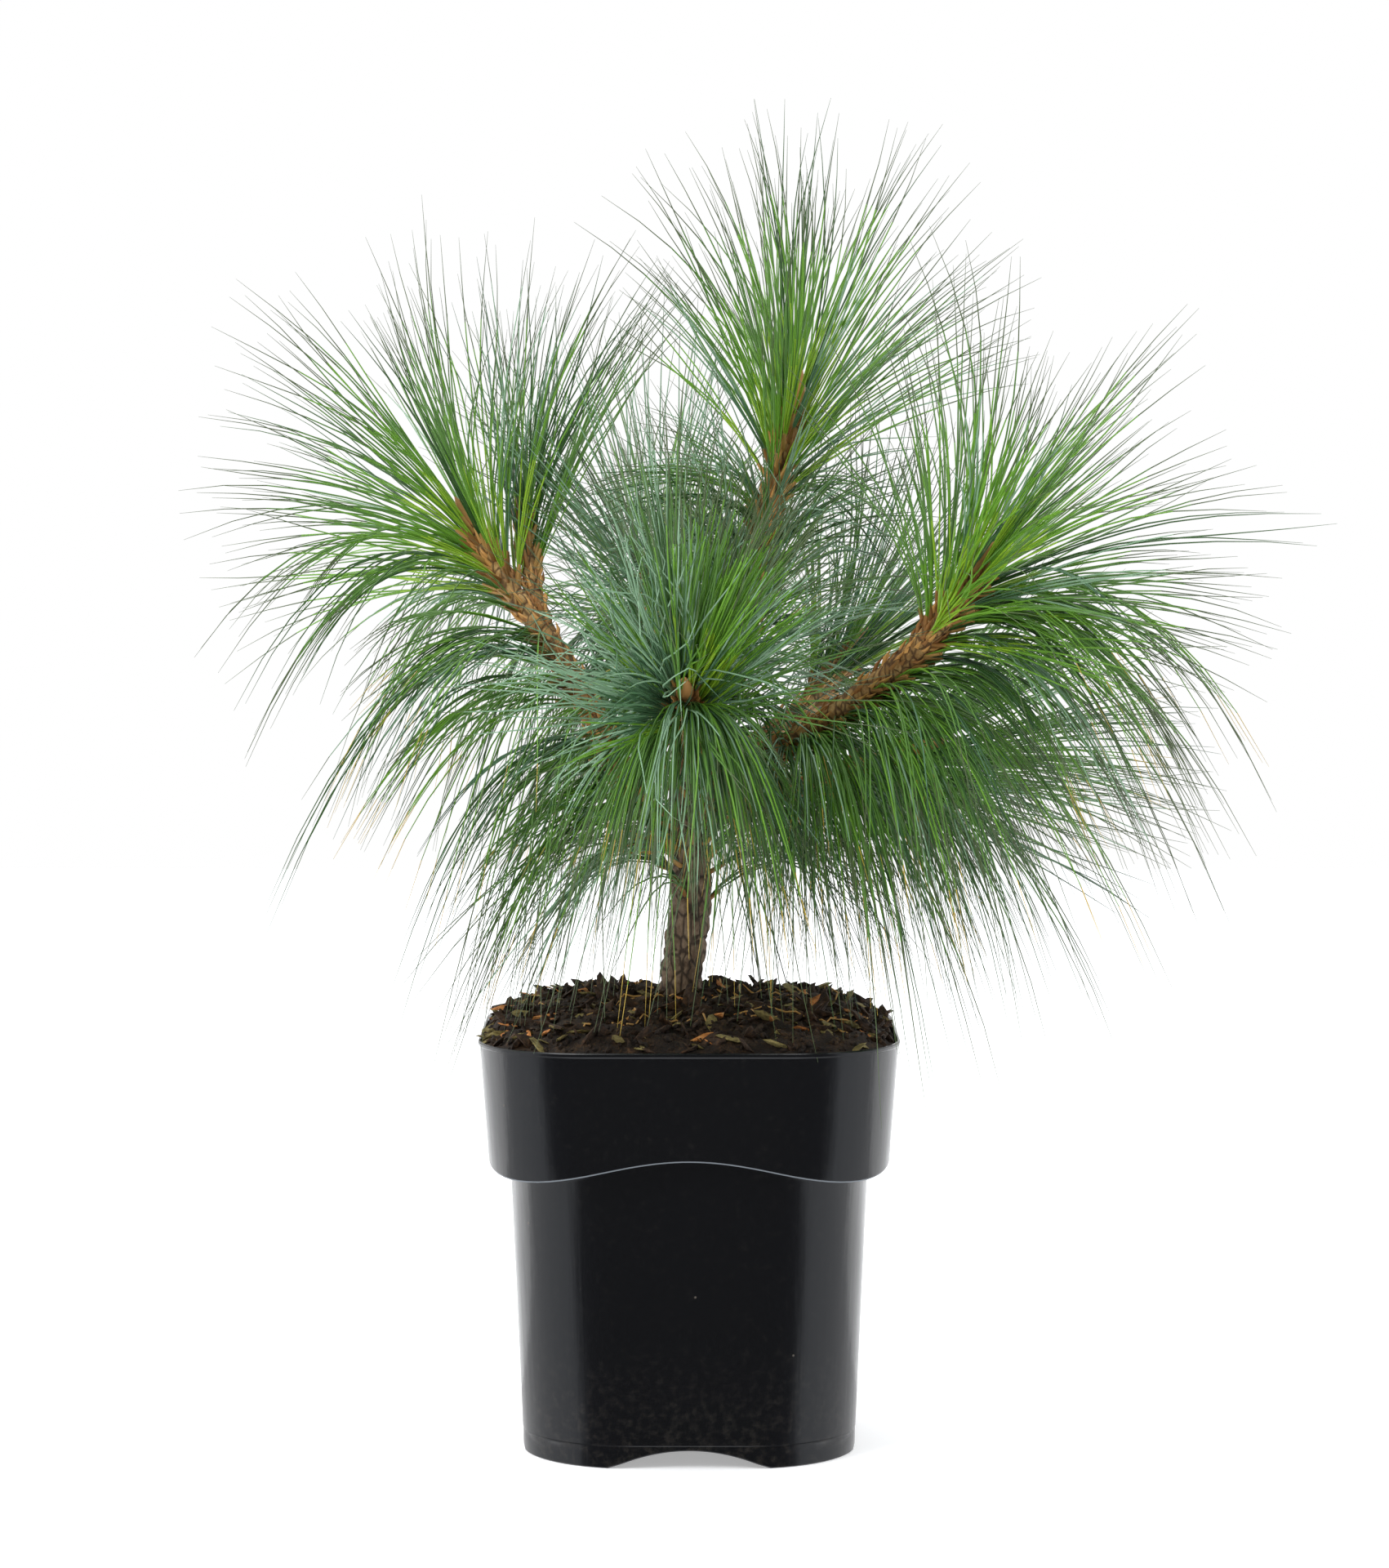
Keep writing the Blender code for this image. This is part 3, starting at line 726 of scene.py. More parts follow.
class Grower:
    """Grows one mass's sprays of needles with its own seeded chance, and adds their sheaths."""

    def __init__(self, seed):
        self.chance = np.random.default_rng(seed)
        self.needles = Lines()

    def curved(self, base, control, tip, wave):
        """Needle lines: from the base, by way of the control point, to the tip, with a slight wave."""
        share = np.linspace(0, 1, NEEDLE_JOINTS)[None, :, None]
        base, control, tip = base[:, None], control[:, None], tip[:, None]
        points = (1 - share) ** 2 * base + 2 * share * (1 - share) * control + share ** 2 * tip
        first, second = square_to(unit(tip - base)[:, 0])
        turn = self.chance.uniform(0, 2 * math.pi, (len(base), 1, 1))
        phase = self.chance.uniform(0, 2 * math.pi, (len(base), 1, 1))
        side = first[:, None] * np.cos(turn) + second[:, None] * np.sin(turn)
        size = wave * self.chance.uniform(*WAVE_SIZES, (len(base), 1, 1))
        swing = np.sin(share * WAVE_TURNS * math.pi + phase) - np.sin(phase)
        return points + side * size * swing * share

    def tuft(self, row):
        """Sprays round a shoot: their tips lie on the same cap as the solid mass they stand for."""
        chance = self.chance
        shoot = shoots[row.limb]
        count = row.count
        axis = unit(np.array(row.axis, float))
        at_end = row.share == 1.0
        middle = shoot.at(row.share) + axis * (CAP_AHEAD if at_end else 0.0)
        order = (np.arange(count) + 0.5) / count
        high, low = math.cos(math.radians(row.inner)), math.cos(math.radians(row.outer))
        cosine = high - order * (high - low)
        turn = np.arange(count) * GOLDEN_ANGLE + chance.normal(0, TURN_VARIES, count)
        cosine = np.clip(cosine + chance.normal(0, COSINE_VARIES, count), -1, 1)
        first, second = square_to(axis)
        around = first * np.cos(turn)[:, None] + second * np.sin(turn)[:, None]
        heading = axis * cosine[:, None] + around * np.sqrt(1 - cosine ** 2)[:, None]
        heading = unit(heading + axis * row.forward)
        if at_end:
            behind = BEHIND_FIRST + (BEHIND_LAST - BEHIND_FIRST) * order
            behind = behind + chance.uniform(-BEHIND_STRAYS, BEHIND_STRAYS, count)
        else:
            behind = chance.uniform(-SLEEVE_HALF, SLEEVE_HALF, count)
        stand = row.share - behind / shoot.length
        base = rooted(shoot, stand, heading)
        start = unit(shoot.heading(stand) * FOLLOWS_LIMB + heading)
        length = row.reach * (row.shortest + (LONGEST - row.shortest) * chance.beta(*LENGTH_SHAPES, count))
        self.grow(row, base, start, middle, heading, length + LENGTH_TO_CAP)

    def grow(self, row, base, start, middle, heading, length):
        """Parts each spray of a tuft into its needles."""
        chance = self.chance
        many = len(base) * NEEDLES_IN_SPRAY
        heading = unit(per_needle(heading) + chance.normal(0, row.scatter * PARTING, (many, 3)))
        length = per_needle(length) * chance.uniform(*NEEDLE_LENGTHS, many)
        level = np.hypot(heading[:, 0], heading[:, 1])
        tip = middle + heading * length[:, None]
        tip[:, 2] -= row.droop * per_needle(chance.uniform(*DROOPS, len(base))) * length * level
        foot = per_needle(base)
        size = np.linalg.norm(tip - foot, axis=1)[:, None]
        start = unit(per_needle(start) + chance.normal(0, START_VARIES, (many, 3)))
        points = self.curved(foot, foot + start * size * BEND_AT, tip, row.wave)
        self.keep(points, base, row.weights)

    def keep(self, points, base, weights):
        """Deals out the spray kinds, keeps the needles and puts a sheath round each spray's foot."""
        weights = np.array(weights, float)
        kinds = self.chance.choice(len(weights), len(base), p=weights / weights.sum())
        self.needles.add(points, NEEDLE_SHAPE, per_needle(kinds))
        lead = unit(points[:, 2] - points[:, 0]).reshape(len(base), NEEDLES_IN_SPRAY, 3)
        lead = unit(lead.mean(1))
        along = np.linspace(SHEATH_FROM, 1, len(SHEATH_RADII))[None, :, None] * SHEATH_LENGTH
        kinds = SMALL_KINDS["sheath"] + self.chance.integers(0, 2, len(base))
        sheaths.add(base[:, None] + lead[:, None] * along, SHEATH_RADII, kinds)

    def fall(self, row):
        """Sprays that leave one side of a limb, arch over and hang."""
        chance = self.chance
        shoot = shoots[row.limb]
        count = row.count
        across = chance.uniform(*FALL_PLACES, count)

        def between(pair):
            return pair[0] + (pair[1] - pair[0]) * across

        stand = np.clip(between(row.span), 0, 1)
        turn = np.radians(between(row.heading) + chance.normal(0, FALL_TURN_VARIES, count))
        far = between(row.reach) * chance.uniform(*FALL_REACHES, count)
        up = between(row.rise) * chance.uniform(*FALL_RISES, count)
        low = between(row.drop) * chance.uniform(*FALL_DROPS, count)
        base = rooted(shoot, stand, level_directions(turn))
        down = chance.uniform(*FALL_GROWN, count)
        many = count * NEEDLES_IN_SPRAY
        turn = per_needle(turn) + chance.normal(0, math.radians(FALL_NEEDLE_TURN_VARIES), many)
        down = per_needle(down) * chance.uniform(*FALL_NEEDLE_GROWN, many)
        share = np.linspace(0, 1, NEEDLE_JOINTS)[None, :] * down[:, None]
        far, up, low = (per_needle(v)[:, None] for v in (far, up, low))
        out = level_directions(turn)[:, None]
        points = per_needle(base)[:, None] + out * (far * share ** FALL_OUT_POWER)[..., None]
        points[..., 2] += up * share - (up + low) * share ** 2
        first, _ = square_to(unit(points[:, -1] - points[:, 0]))
        swing = chance.normal(0, FALL_WAVE_VARIES, (many, 1, 1))
        bend = chance.normal(0, FALL_BEND_VARIES, (many, 1, 1))
        way = (share ** 2)[..., None]
        points += first[:, None] * (swing * np.sin(FALL_WAVE_RADIANS * share)[..., None] * way + bend * way)
        self.keep(points, base, row.weights)


NEEDLE_SHAPE = NEEDLE_RADIUS * tapered(NEEDLE_JOINTS)
sheaths = Lines()
shoots = {name: Shoot(route) for name, route in LIMBS.items()}

needle_zones = []
for number, (base, middle, tip, tip_from) in enumerate(SPRAY_KINDS):
    zones = [(0.0, base), (MIDDLE_FROM, middle), (tip_from, tip)]
    needle_zones += [(number, least, finish[name]) for least, name in zones]
needle_group = sweep_group("needle_sweep", needle_zones)

# Weights of the spray kinds in a piece: lime, leaf, mid, blue, deep, deep blue, yellowing
FRESH = (7, 6, 2, 1, 1, 0, 0)
FRESH_BLUE = (3, 3, 2, 4, 1, 1, 0)
# Mostly the darker kinds: painted shade for the needles inside the crown, under the boughs and at the back
PAINTED_SHADE = (0, 1, 4, 2, 4, 2, 0)
HANGING = (0, 4, 5, 1, 3, 1, 2)
HANGING_BLUE = (0, 1, 4, 3, 3, 2, 1)
LIMES = (6, 2, 0, 0, 0, 0, 0)
BLUES = (0, 0, 1, 6, 0, 2, 0)

# Tufts at the ends of the limbs, one row for each mass
TUFTS = [
    Tuft("leader_tuft", "trunk", (0.05, 0.02, 1), 0.114, 96, 0.45, 50, FRESH),
    Tuft("left_tuft", "left_bough", (-0.65, 0.05, 0.75), 0.138, 94, 0.3, 42, FRESH),
    Tuft("right_tuft", "right_bough", (0.55, -0.25, 0.62), 0.122, 96, 0.3, 54, FRESH),
    Tuft("front_tuft", "front_bough", (0.05, -0.85, 0.5), 0.106, 90, 0.3, 22, FRESH_BLUE),
    Tuft("back_tuft", "back_bough", (-0.1, 0.75, 0.6), 0.118, 88, 0.3, 50, FRESH_BLUE),
    Tuft("left_back_tuft", "left_back_bough", (0.22, 0.35, 1), 0.132, 54, 1.0, 16, PAINTED_SHADE),
    Tuft("low_right_tuft", "low_right_bough", (0.95, 0.1, 0.25), 0.110, 72, 0.4, 40, HANGING),
    Tuft("back_right_tuft", "back_right_bough", (0.40, 0.70, 0.55), 0.110, 76, 0.3, 46, FRESH_BLUE),
]

# Further tufts in the masses that hold more than one
MORE_TUFTS = [
    Tuft("front_tuft", "front_bough", (0.42, -0.30, 0.85), 0.100, 34, 0.4, 24, LIMES),
    Tuft("front_tuft", "front_bough", (-0.35, -0.20, 1.0), 0.094, 75, 0.1, 20, BLUES, scatter=0.6,
         wave=0.018),
    Tuft("front_tuft", "front_bough", (-0.4, 0.2, 0.8), 0.090, 90, 0.1, 18, BLUES, share=0.55, scatter=0.6,
         wave=0.015),
    Tuft("front_tuft", "front_bough", (-0.15, 0.05, 1.0), 0.125, 22, 0.5, 10, PAINTED_SHADE),
    Tuft("leader_sleeve", "trunk", (0, 0, 1), 0.100, 100, 0.35, 44, PAINTED_SHADE, inner=30, droop=0.30, share=0.74),
    Tuft("leader_sleeve", "trunk", (-0.3, -0.3, 1), 0.105, 95, 0.2, 34, BLUES, droop=0.25, share=0.60,
         scatter=0.4, wave=0.009),
    Tuft("leader_sleeve", "trunk", (0.2, 0.6, 0.9), 0.105, 80, 0.2, 26, FRESH_BLUE, droop=0.3, share=0.55,
         wave=0.004),
    Tuft("leader_sleeve", "front_bough", (0.1, 0.3, 1.0), 0.110, 60, 0.2, 22, FRESH_BLUE, share=0.35,
         wave=0.005),
    Tuft("trunk_skirt", "trunk", (0, 0, 1), 0.080, 104, 0.10, 20, PAINTED_SHADE, inner=55, droop=0.7, share=0.32,
         shortest=0.7),
    Tuft("trunk_skirt", "trunk", (0, -0.05, 1), 0.124, 96, 0.05, 22, PAINTED_SHADE, inner=68, droop=0.50, share=0.27),
    Tuft("trunk_skirt", "trunk", (0.25, -0.85, 0.15), 0.098, 88, 0.2, 34, HANGING, droop=0.62, share=0.44,
         scatter=0.35, wave=0.006),
]

# Hanging sprays, one row for each mass
FALLS = [
    Fall("right_fall_outer", "right_bough", (0.55, 0.97), (-42, 6), (0.13, 0.130), (0.03, 0.05),
         (0.135, 0.115), 44, HANGING),
    Fall("right_fall_front", "right_bough", (0.12, 0.55), (-98, -50), (0.07, 0.120), (0.03, 0.03),
         (0.110, 0.185), 42, HANGING),
    Fall("low_right_fall_front", "low_right_bough", (0.35, 0.92), (-60, -20), (0.09, 0.105), (0.02, 0.02),
         (0.09, 0.11), 28, HANGING),
    Fall("low_right_fall_back", "low_right_bough", (0.35, 0.92), (85, 35), (0.085, 0.10), (0.02, 0.02),
         (0.10, 0.11), 40, HANGING_BLUE),
    Fall("left_fall_outer", "left_bough", (0.55, 0.97), (218, 175), (0.125, 0.125), (0.05, 0.06),
         (0.085, 0.07), 15, HANGING),
    Fall("left_fall_low", "left_bough", (0.10, 0.50), (222, 205), (0.105, 0.12), (0.02, 0.03),
         (0.10, 0.12), 18, HANGING),
    Fall("left_fall_back", "left_bough", (0.15, 0.85), (95, 125), (0.08, 0.11), (0.03, 0.05),
         (0.10, 0.10), 24, HANGING_BLUE),
    Fall("front_fall_left", "front_bough", (0.48, 0.92), (215, 245), (0.07, 0.07), (0.02, 0.02),
         (0.125, 0.135), 16, HANGING),
    Fall("front_fall_right", "front_bough", (0.55, 0.95), (-35, -75), (0.07, 0.075), (0.02, 0.02),
         (0.135, 0.140), 40, HANGING),
    Fall("back_fall", "back_bough", (0.35, 0.90), (150, 110), (0.08, 0.085), (0.02, 0.03),
         (0.11, 0.12), 40, HANGING_BLUE),
    Fall("back_right_fall", "back_right_bough", (0.25, 0.90), (110, 70), (0.07, 0.09), (0.02, 0.03),
         (0.11, 0.12), 40, HANGING_BLUE),
]

# Sparse longer needles that hang past a mass's own hem
STRAYS = [
    Fall("left_fall_low", "left_bough", (0.05, 0.45), (200, 235), (0.100, 0.125), (0.02, 0.03),
         (0.15, 0.19), 14, HANGING),
    Fall("left_fall_outer", "left_bough", (0.45, 0.97), (225, 180), (0.14, 0.15), (0.04, 0.06),
         (0.14, 0.12), 14, HANGING),
    Fall("right_fall_outer", "right_bough", (0.5, 0.97), (-60, -10), (0.12, 0.13), (0.03, 0.05),
         (0.185, 0.15), 14, HANGING),
    Fall("right_fall_front", "right_bough", (0.30, 0.62), (-68, -42), (0.105, 0.120), (0.02, 0.02),
         (0.200, 0.205), 20, HANGING),
    Fall("low_right_fall_front", "low_right_bough", (0.5, 0.95), (-50, -10), (0.11, 0.12), (0.02, 0.02),
         (0.14, 0.15), 10, HANGING),
    Fall("back_fall", "back_bough", (0.35, 0.90), (160, 100), (0.10, 0.11), (0.03, 0.03),
         (0.16, 0.17), 10, HANGING_BLUE),
    Fall("left_fall_back", "left_bough", (0.15, 0.85), (95, 135), (0.10, 0.12), (0.03, 0.05),
         (0.14, 0.15), 10, HANGING_BLUE),
]

slot_of = {row["node"]: row["material_slot"] for row in frame["record"]["subparts"]}


def grow_mass(node, seed):
    """Grows all the tufts and falls of one mass, as one piece."""
    grower = Grower(seed)
    for row in TUFTS + MORE_TUFTS:
        if row.mass == node:
            grower.tuft(row)
    for row in FALLS + STRAYS:
        if row.mass == node:
            grower.fall(row)
    piece = grower.needles.draw(node + "_needles", needle_group, NEEDLE_SIDES)
    hand_in(piece, slot_of[node], node)


for seed, row in enumerate(TUFTS, FIRST_TUFT_SEED):
    grow_mass(row.mass, seed)
for seed, row in enumerate(FALLS, FIRST_FALL_SEED):
    grow_mass(row.mass, seed)
for seed, node in enumerate(("leader_sleeve", "trunk_skirt"), FIRST_SLEEVE_SEED):
    grow_mass(node, seed)

small_group = sweep_group("stem_sweep", [(SMALL_KINDS[name], 0.0, finish[name]) for name in SMALL_FINISHES])
hand_in(sheaths.draw("needle_sheaths", small_group, SHEATH_SIDES), "shoot_bark")


# Scales and buds

# A scale's size, its lean away from the limb, and its half width from foot to tip
SCALE_SIZES = (0.004, 0.010)
SCALE_LEANS = (0.35, 0.95)
SCALE_WIDTHS = np.array([0.0014, 0.0010, 0.0002])
# Its tip bends back towards the limb
TIP_LEAN = 0.6
SCALE_ROOTED = 0.8
SCALE_TURN_VARIES = 0.3
SCALES_END = 0.99
SCALE_SIDES = 3

# Where along each limb its scales begin, and how many there are
SCALED_LIMBS = {
    "trunk": (0.55, 190), "left_bough": (0.12, 190), "left_back_bough": (0.2, 70),
    "right_bough": (0.12, 190), "low_right_bough": (0.15, 100), "front_bough": (0.2, 100),
    "back_bough": (0.2, 90), "back_right_bough": (0.2, 90), "low_left_stub": (0.3, 30),
}

BUD_FROM = -0.003
BUD_TO = 0.017
BUD_RADII = np.array([0.0032, 0.0036, 0.0038, 0.0034, 0.0027, 0.0017, 0.0003])
BUD_SIDES = 9


def scales_on(shoot, first, count, chance):
    """Lines of papery scales that lie along a shoot and stand a little off it."""
    stand = np.sort(chance.uniform(first, SCALES_END, count))
    grown = shoot.heading(stand)
    one, two = square_to(grown)
    turn = np.arange(count) * GOLDEN_ANGLE + chance.normal(0, SCALE_TURN_VARIES, count)
    out = one * np.cos(turn)[:, None] + two * np.sin(turn)[:, None]
    base = shoot.at(stand) + out * shoot.radius(stand)[:, None] * SCALE_ROOTED
    size = chance.uniform(*SCALE_SIZES, count)[:, None]
    lean = chance.uniform(*SCALE_LEANS, count)[:, None]
    middle = base + unit(grown + out * lean) * size * 0.5
    tip = base + unit(grown + out * lean * TIP_LEAN) * size
    return np.stack([base, middle, tip], 1)


chance = np.random.default_rng(SCALE_SEED)
scales = Lines()
for name, (first, count) in SCALED_LIMBS.items():
    lines = scales_on(shoots[name], first, count, chance)
    scales.add(lines, SCALE_WIDTHS, SMALL_KINDS["scale"] + chance.integers(0, 2, count))
hand_in(scales.draw("bark_scales", small_group, SCALE_SIDES), "shoot_bark")

buds = Lines()
for row in TUFTS:
    shoot = shoots[row.limb]
    ahead = unit(unit(np.array(row.axis, float)) + shoot.heading(1.0))
    line = shoot.at(1.0) + ahead * np.linspace(BUD_FROM, BUD_TO, len(BUD_RADII))[:, None]
    buds.add(line[None], BUD_RADII, SMALL_KINDS["bud"])
hand_in(buds.draw("buds", small_group, BUD_SIDES), "shoot_bark")


# Bark on the limbs

BARK_STEP = 0.0011
TRUNK_SIDES = 40
BOUGH_SIDES = 24
TRUNK_RELIEF = 0.0016
BOUGH_RELIEF = 0.0009
# Above this level the trunk has the bark of a shoot
YOUNG_BARK_FROM = 0.335


def bark_group():
    """Draws a limb round its centre line and raises its bark in flakes."""
    tree, nodes, keys = new_group("bark_relief", [
        ("Sides", "NodeSocketInt", BOUGH_SIDES),
        ("Step", "NodeSocketFloat", BARK_STEP),
        ("Relief", "NodeSocketFloat", BOUGH_RELIEF),
        ("Finish", "NodeSocketMaterial", None),
    ])
    given = nodes.make("NodeGroupInput")
    curves = thick_curves(nodes, given.out("Geometry"))
    spacing = {"Curve": curves, "Length": given.out("Step")}
    curves = nodes.make("GeometryNodeResampleCurve", {"mode": "LENGTH"}, spacing)
    tube = round_stems(nodes, curves, given.out("Sides"))
    place = nodes.make("GeometryNodeInputPosition").out()
    drawn_out = nodes.make("ShaderNodeVectorMath", {"operation": "MULTIPLY"}, {0: place, 1: (1, 1, 0.5)})
    flakes = nodes.edges(drawn_out, scale=210).above(0.14, softness=0.12)
    rough = nodes.noise(place, scale=420, detail=3, roughness=0.6)
    broad = nodes.noise(place, scale=110, detail=2, roughness=0.5)
    raised = (flakes - 0.5) * 0.7 + (rough - 0.5) * 1.1 + (broad - 0.5) * 1.4
    height = {0: nodes.make("GeometryNodeInputNormal"), "Scale": raised * given.number("Relief")}
    move = nodes.make("ShaderNodeVectorMath", {"operation": "SCALE"}, height)
    moved = nodes.make("GeometryNodeSetPosition", None, {"Geometry": tube, "Offset": move})
    smooth = nodes.make("GeometryNodeSetShadeSmooth", None, {0: moved})
    real = nodes.make("GeometryNodeRealizeInstances", None, {0: smooth})
    worn = nodes.make("GeometryNodeSetMaterial", None, {"Geometry": real, "Material": given.out("Finish")})
    nodes.make("NodeGroupOutput", None, {"Geometry": worn})
    return tree, keys


def limb_line(name, shoot):
    mesh = bpy.data.meshes.new(name)
    edges = [(k, k + 1) for k in range(len(shoot.line) - 1)]
    mesh.from_pydata(shoot.line.tolist(), edges, [])
    mesh.attributes.new("thickness", "FLOAT", "POINT").data.foreach_set("value", shoot.radii)
    return link(name, mesh)


def bark_on(name, shoot, sides, relief, bark):
    line = limb_line(name + "_line", shoot)
    run_group(line, bark_relief, Sides=sides, Step=BARK_STEP, Relief=relief, Finish=finish[bark])
    piece = settle(line, name + "_bark")
    drop_attributes(piece.data, "thickness")
    drop_unused_slots(piece.data)
    return piece


bark_relief = bark_group()
for name, shoot in shoots.items():
    if name == "trunk":
        piece = bark_on(name, shoot, TRUNK_SIDES, TRUNK_RELIEF, "trunk_bark")
        piece.data.materials.append(finish["shoot_bark"])
        for polygon in piece.data.polygons:
            polygon.material_index = int(polygon.center.z > YOUNG_BARK_FROM)
    else:
        piece = bark_on(name, shoot, BOUGH_SIDES, BOUGH_RELIEF, "shoot_bark")
    hand_in(piece, slot_of[name], name)


# Pot: half widths and levels, as in the solid

RIM_HALF = 0.0950
RIM_LEVEL = 0.1890
COLLAR_HALF = 0.0905
BODY_TOP_HALF = 0.0812
FOOT_HALF = 0.0757
FOOT_LINE_LEVEL = 0.0090
CORNER_RADIUS = 0.0500
WALL = 0.0016
COLLAR_EDGE_LEVEL = 0.1347
COLLAR_EDGE_WAVE = 0.0053
COLLAR_EDGE_DEPTH = 0.0015
ARCH_HALF_WIDTH = 0.0355
ARCH_RISE = 0.0080
FLOOR_UNDERSIDE = 0.0090
FLOOR_TOP = 0.0112
# The foot line is scribed this deep, and the edges of the rim and foot are rounded by this much
FOOT_LINE_DEPTH = 0.0002
EDGE = 0.0005
# Points along a side's straight stretch and round a corner
SIDE_STEPS = 28
CORNER_STEPS = 14
# The ring of faces along the collar's lower edge, which is painted paler as a highlight line
HIGHLIGHT_RING = 11
# Drain holes in the floor
DRAINS = 6
DRAIN_CIRCLE = 0.048
DRAIN_RADIUS = 0.0045
DRAIN_SIDES = 20
DRAIN_CUT = 0.006
# Edges that turn by more degrees than this are shaded sharp
SHARP_ANGLE = 32


def square_ring(half, radius=CORNER_RADIUS):
    """Points round a rounded square, each with its share of the way from a side's middle to a corner's."""
    straight = half - radius
    quarter = straight + radius * math.pi / 4
    places, shares = [], []
    for k in range(SIDE_STEPS):
        x = -straight + 2 * straight * k / SIDE_STEPS
        places.append((x, -half))
        shares.append(abs(x) / quarter)
    for k in range(CORNER_STEPS):
        a = math.pi / 2 * k / CORNER_STEPS
        places.append((straight + radius * math.sin(a), -straight - radius * math.cos(a)))
        shares.append((straight + radius * min(a, math.pi / 2 - a)) / quarter)
    ring = []
    for turn in range(4):
        rotation = Matrix.Rotation(math.pi / 2 * turn, 2)
        ring += [(rotation @ Vector(place), share) for place, share in zip(places, shares)]
    return ring


def loft(name, rings):
    bm = bmesh.new()
    rows = []
    for half, level, *radius in rings:
        row = []
        for place, share in square_ring(half, *radius):
            height = level(place, share) if callable(level) else level
            row.append(bm.verts.new((place.x, place.y, height)))
        rows.append(row)
    count = len(rows[0])
    for low, high in zip(rows, rows[1:]):
        for k in range(count):
            after = (k + 1) % count
            bm.faces.new((low[k], low[after], high[after], high[k]))
    bm.faces.new(rows[0][::-1])
    bm.faces.new(rows[-1])
    bmesh.ops.recalc_face_normals(bm, faces=bm.faces)
    mesh = bpy.data.meshes.new(name)
    bm.to_mesh(mesh)
    bm.free()
    return link(name, mesh)


def collar(drop):
    """The wave of the collar's lower edge, moved by the given height."""
    return lambda place, share: COLLAR_EDGE_LEVEL + COLLAR_EDGE_WAVE * math.cos(math.pi * share) + drop


def foot(lift):
    """The foot's lower edge, with its flat arch at the middle of each side."""
    def level(place, share):
        across = share * (FOOT_HALF - CORNER_RADIUS * (1 - math.pi / 4)) / ARCH_HALF_WIDTH
        return (0.0 if across >= 1 else ARCH_RISE * (1 - across * across)) + lift
    return level


def body_half(level):
    """The body's half width at a level between the foot and the collar."""
    share = (level - FOOT_LINE_LEVEL) / (COLLAR_EDGE_LEVEL - FOOT_LINE_LEVEL)
    start = FOOT_HALF + FOOT_LINE_DEPTH
    return start + (BODY_TOP_HALF - FOOT_HALF - FOOT_LINE_DEPTH) * share


def cut_drains(pot):
    """Cuts a circle of round holes through the pot's floor."""
    drains = []
    for k in range(DRAINS):
        turn = 2 * math.pi * k / DRAINS
        level = (FLOOR_UNDERSIDE + FLOOR_TOP) / 2
        middle = (DRAIN_CIRCLE * math.cos(turn), DRAIN_CIRCLE * math.sin(turn), level)
        bm = bmesh.new()
        bmesh.ops.create_cone(bm, cap_ends=True, segments=DRAIN_SIDES, radius1=DRAIN_RADIUS,
                              radius2=DRAIN_RADIUS, depth=DRAIN_CUT, matrix=Matrix.Translation(middle))
        mesh = bpy.data.meshes.new("drain")
        bm.to_mesh(mesh)
        bm.free()
        drain = link(f"drain_{k}", mesh)
        cut = pot.modifiers.new(drain.name, "BOOLEAN")
        cut.operation = "DIFFERENCE"
        cut.object = drain
        drains.append(drain)
    pot = settle(pot, pot.name)
    for drain in drains:
        bpy.data.objects.remove(drain)
    return pot


def paint_highlight_ring(pot, ring):
    """Gives one ring of faces the second material, the painted highlight."""
    faces = 4 * (SIDE_STEPS + CORNER_STEPS)
    for polygon in pot.data.polygons[ring * faces:(ring + 1) * faces]:
        polygon.material_index = 1


# The wall's section runs up the inside, over the rim, down the collar, under its edge, down the body
# past the foot line, round the foot and up to the floor's underside
pot = loft("pot_shell", [
    (FOOT_HALF - WALL, FLOOR_TOP),
    (BODY_TOP_HALF - WALL, collar(0)),
    (COLLAR_HALF - WALL, collar(COLLAR_EDGE_DEPTH)),
    (RIM_HALF - WALL, RIM_LEVEL - EDGE),
    (RIM_HALF - WALL + EDGE, RIM_LEVEL),
    (RIM_HALF - EDGE, RIM_LEVEL),
    (RIM_HALF, RIM_LEVEL - EDGE),
    (RIM_HALF - 0.0001, RIM_LEVEL - 0.0016),
    (RIM_HALF - 0.0008, RIM_LEVEL - 0.0024),
    (COLLAR_HALF + 0.0006, collar(0.010)),
    (COLLAR_HALF + 0.0001, collar(0.0012)),
    (COLLAR_HALF, collar(0.0006)),
    (COLLAR_HALF - 0.0003, collar(0)),
    (BODY_TOP_HALF + 0.0022, collar(0.0002)),
    (BODY_TOP_HALF + 0.0004, collar(-0.0004)),
    (BODY_TOP_HALF, collar(-0.0018)),
    (body_half(0.090), 0.090),
    (body_half(0.050), 0.050),
    (body_half(0.0105), 0.0105),
    (FOOT_HALF - FOOT_LINE_DEPTH, 0.0099),
    (FOOT_HALF - FOOT_LINE_DEPTH, 0.0093),
    (FOOT_HALF, 0.0088),
    (FOOT_HALF, foot(EDGE)),
    (FOOT_HALF - EDGE, foot(0)),
    (FOOT_HALF - WALL, foot(0)),
    (FOOT_HALF - WALL - 0.0004, FLOOR_UNDERSIDE),
])
# The collar's lower edge wears the painted highlight
paint_highlight_ring(pot, HIGHLIGHT_RING)
pot = cut_drains(pot)
pot.data.shade_smooth()
pot.data.set_sharp_from_angle(angle=math.radians(SHARP_ANGLE))
pot.data.materials.append(finish["pot_plastic"])
pot.data.materials.append(finish["pot_worn_edge"])
hand_in(pot, slot_of["pot"], "pot")


# Soil

# The mound: levels at distances from the pot's axis, measured on a rounded square
MOUND_PLACES = [0.0, 0.015, 0.030, 0.048, 0.069, 0.086, 0.0925]
MOUND_LEVELS = [0.2052, 0.205, 0.2035, 0.2015, 0.1985, 0.1935, 0.1883]
MOUND_SQUARENESS = 4
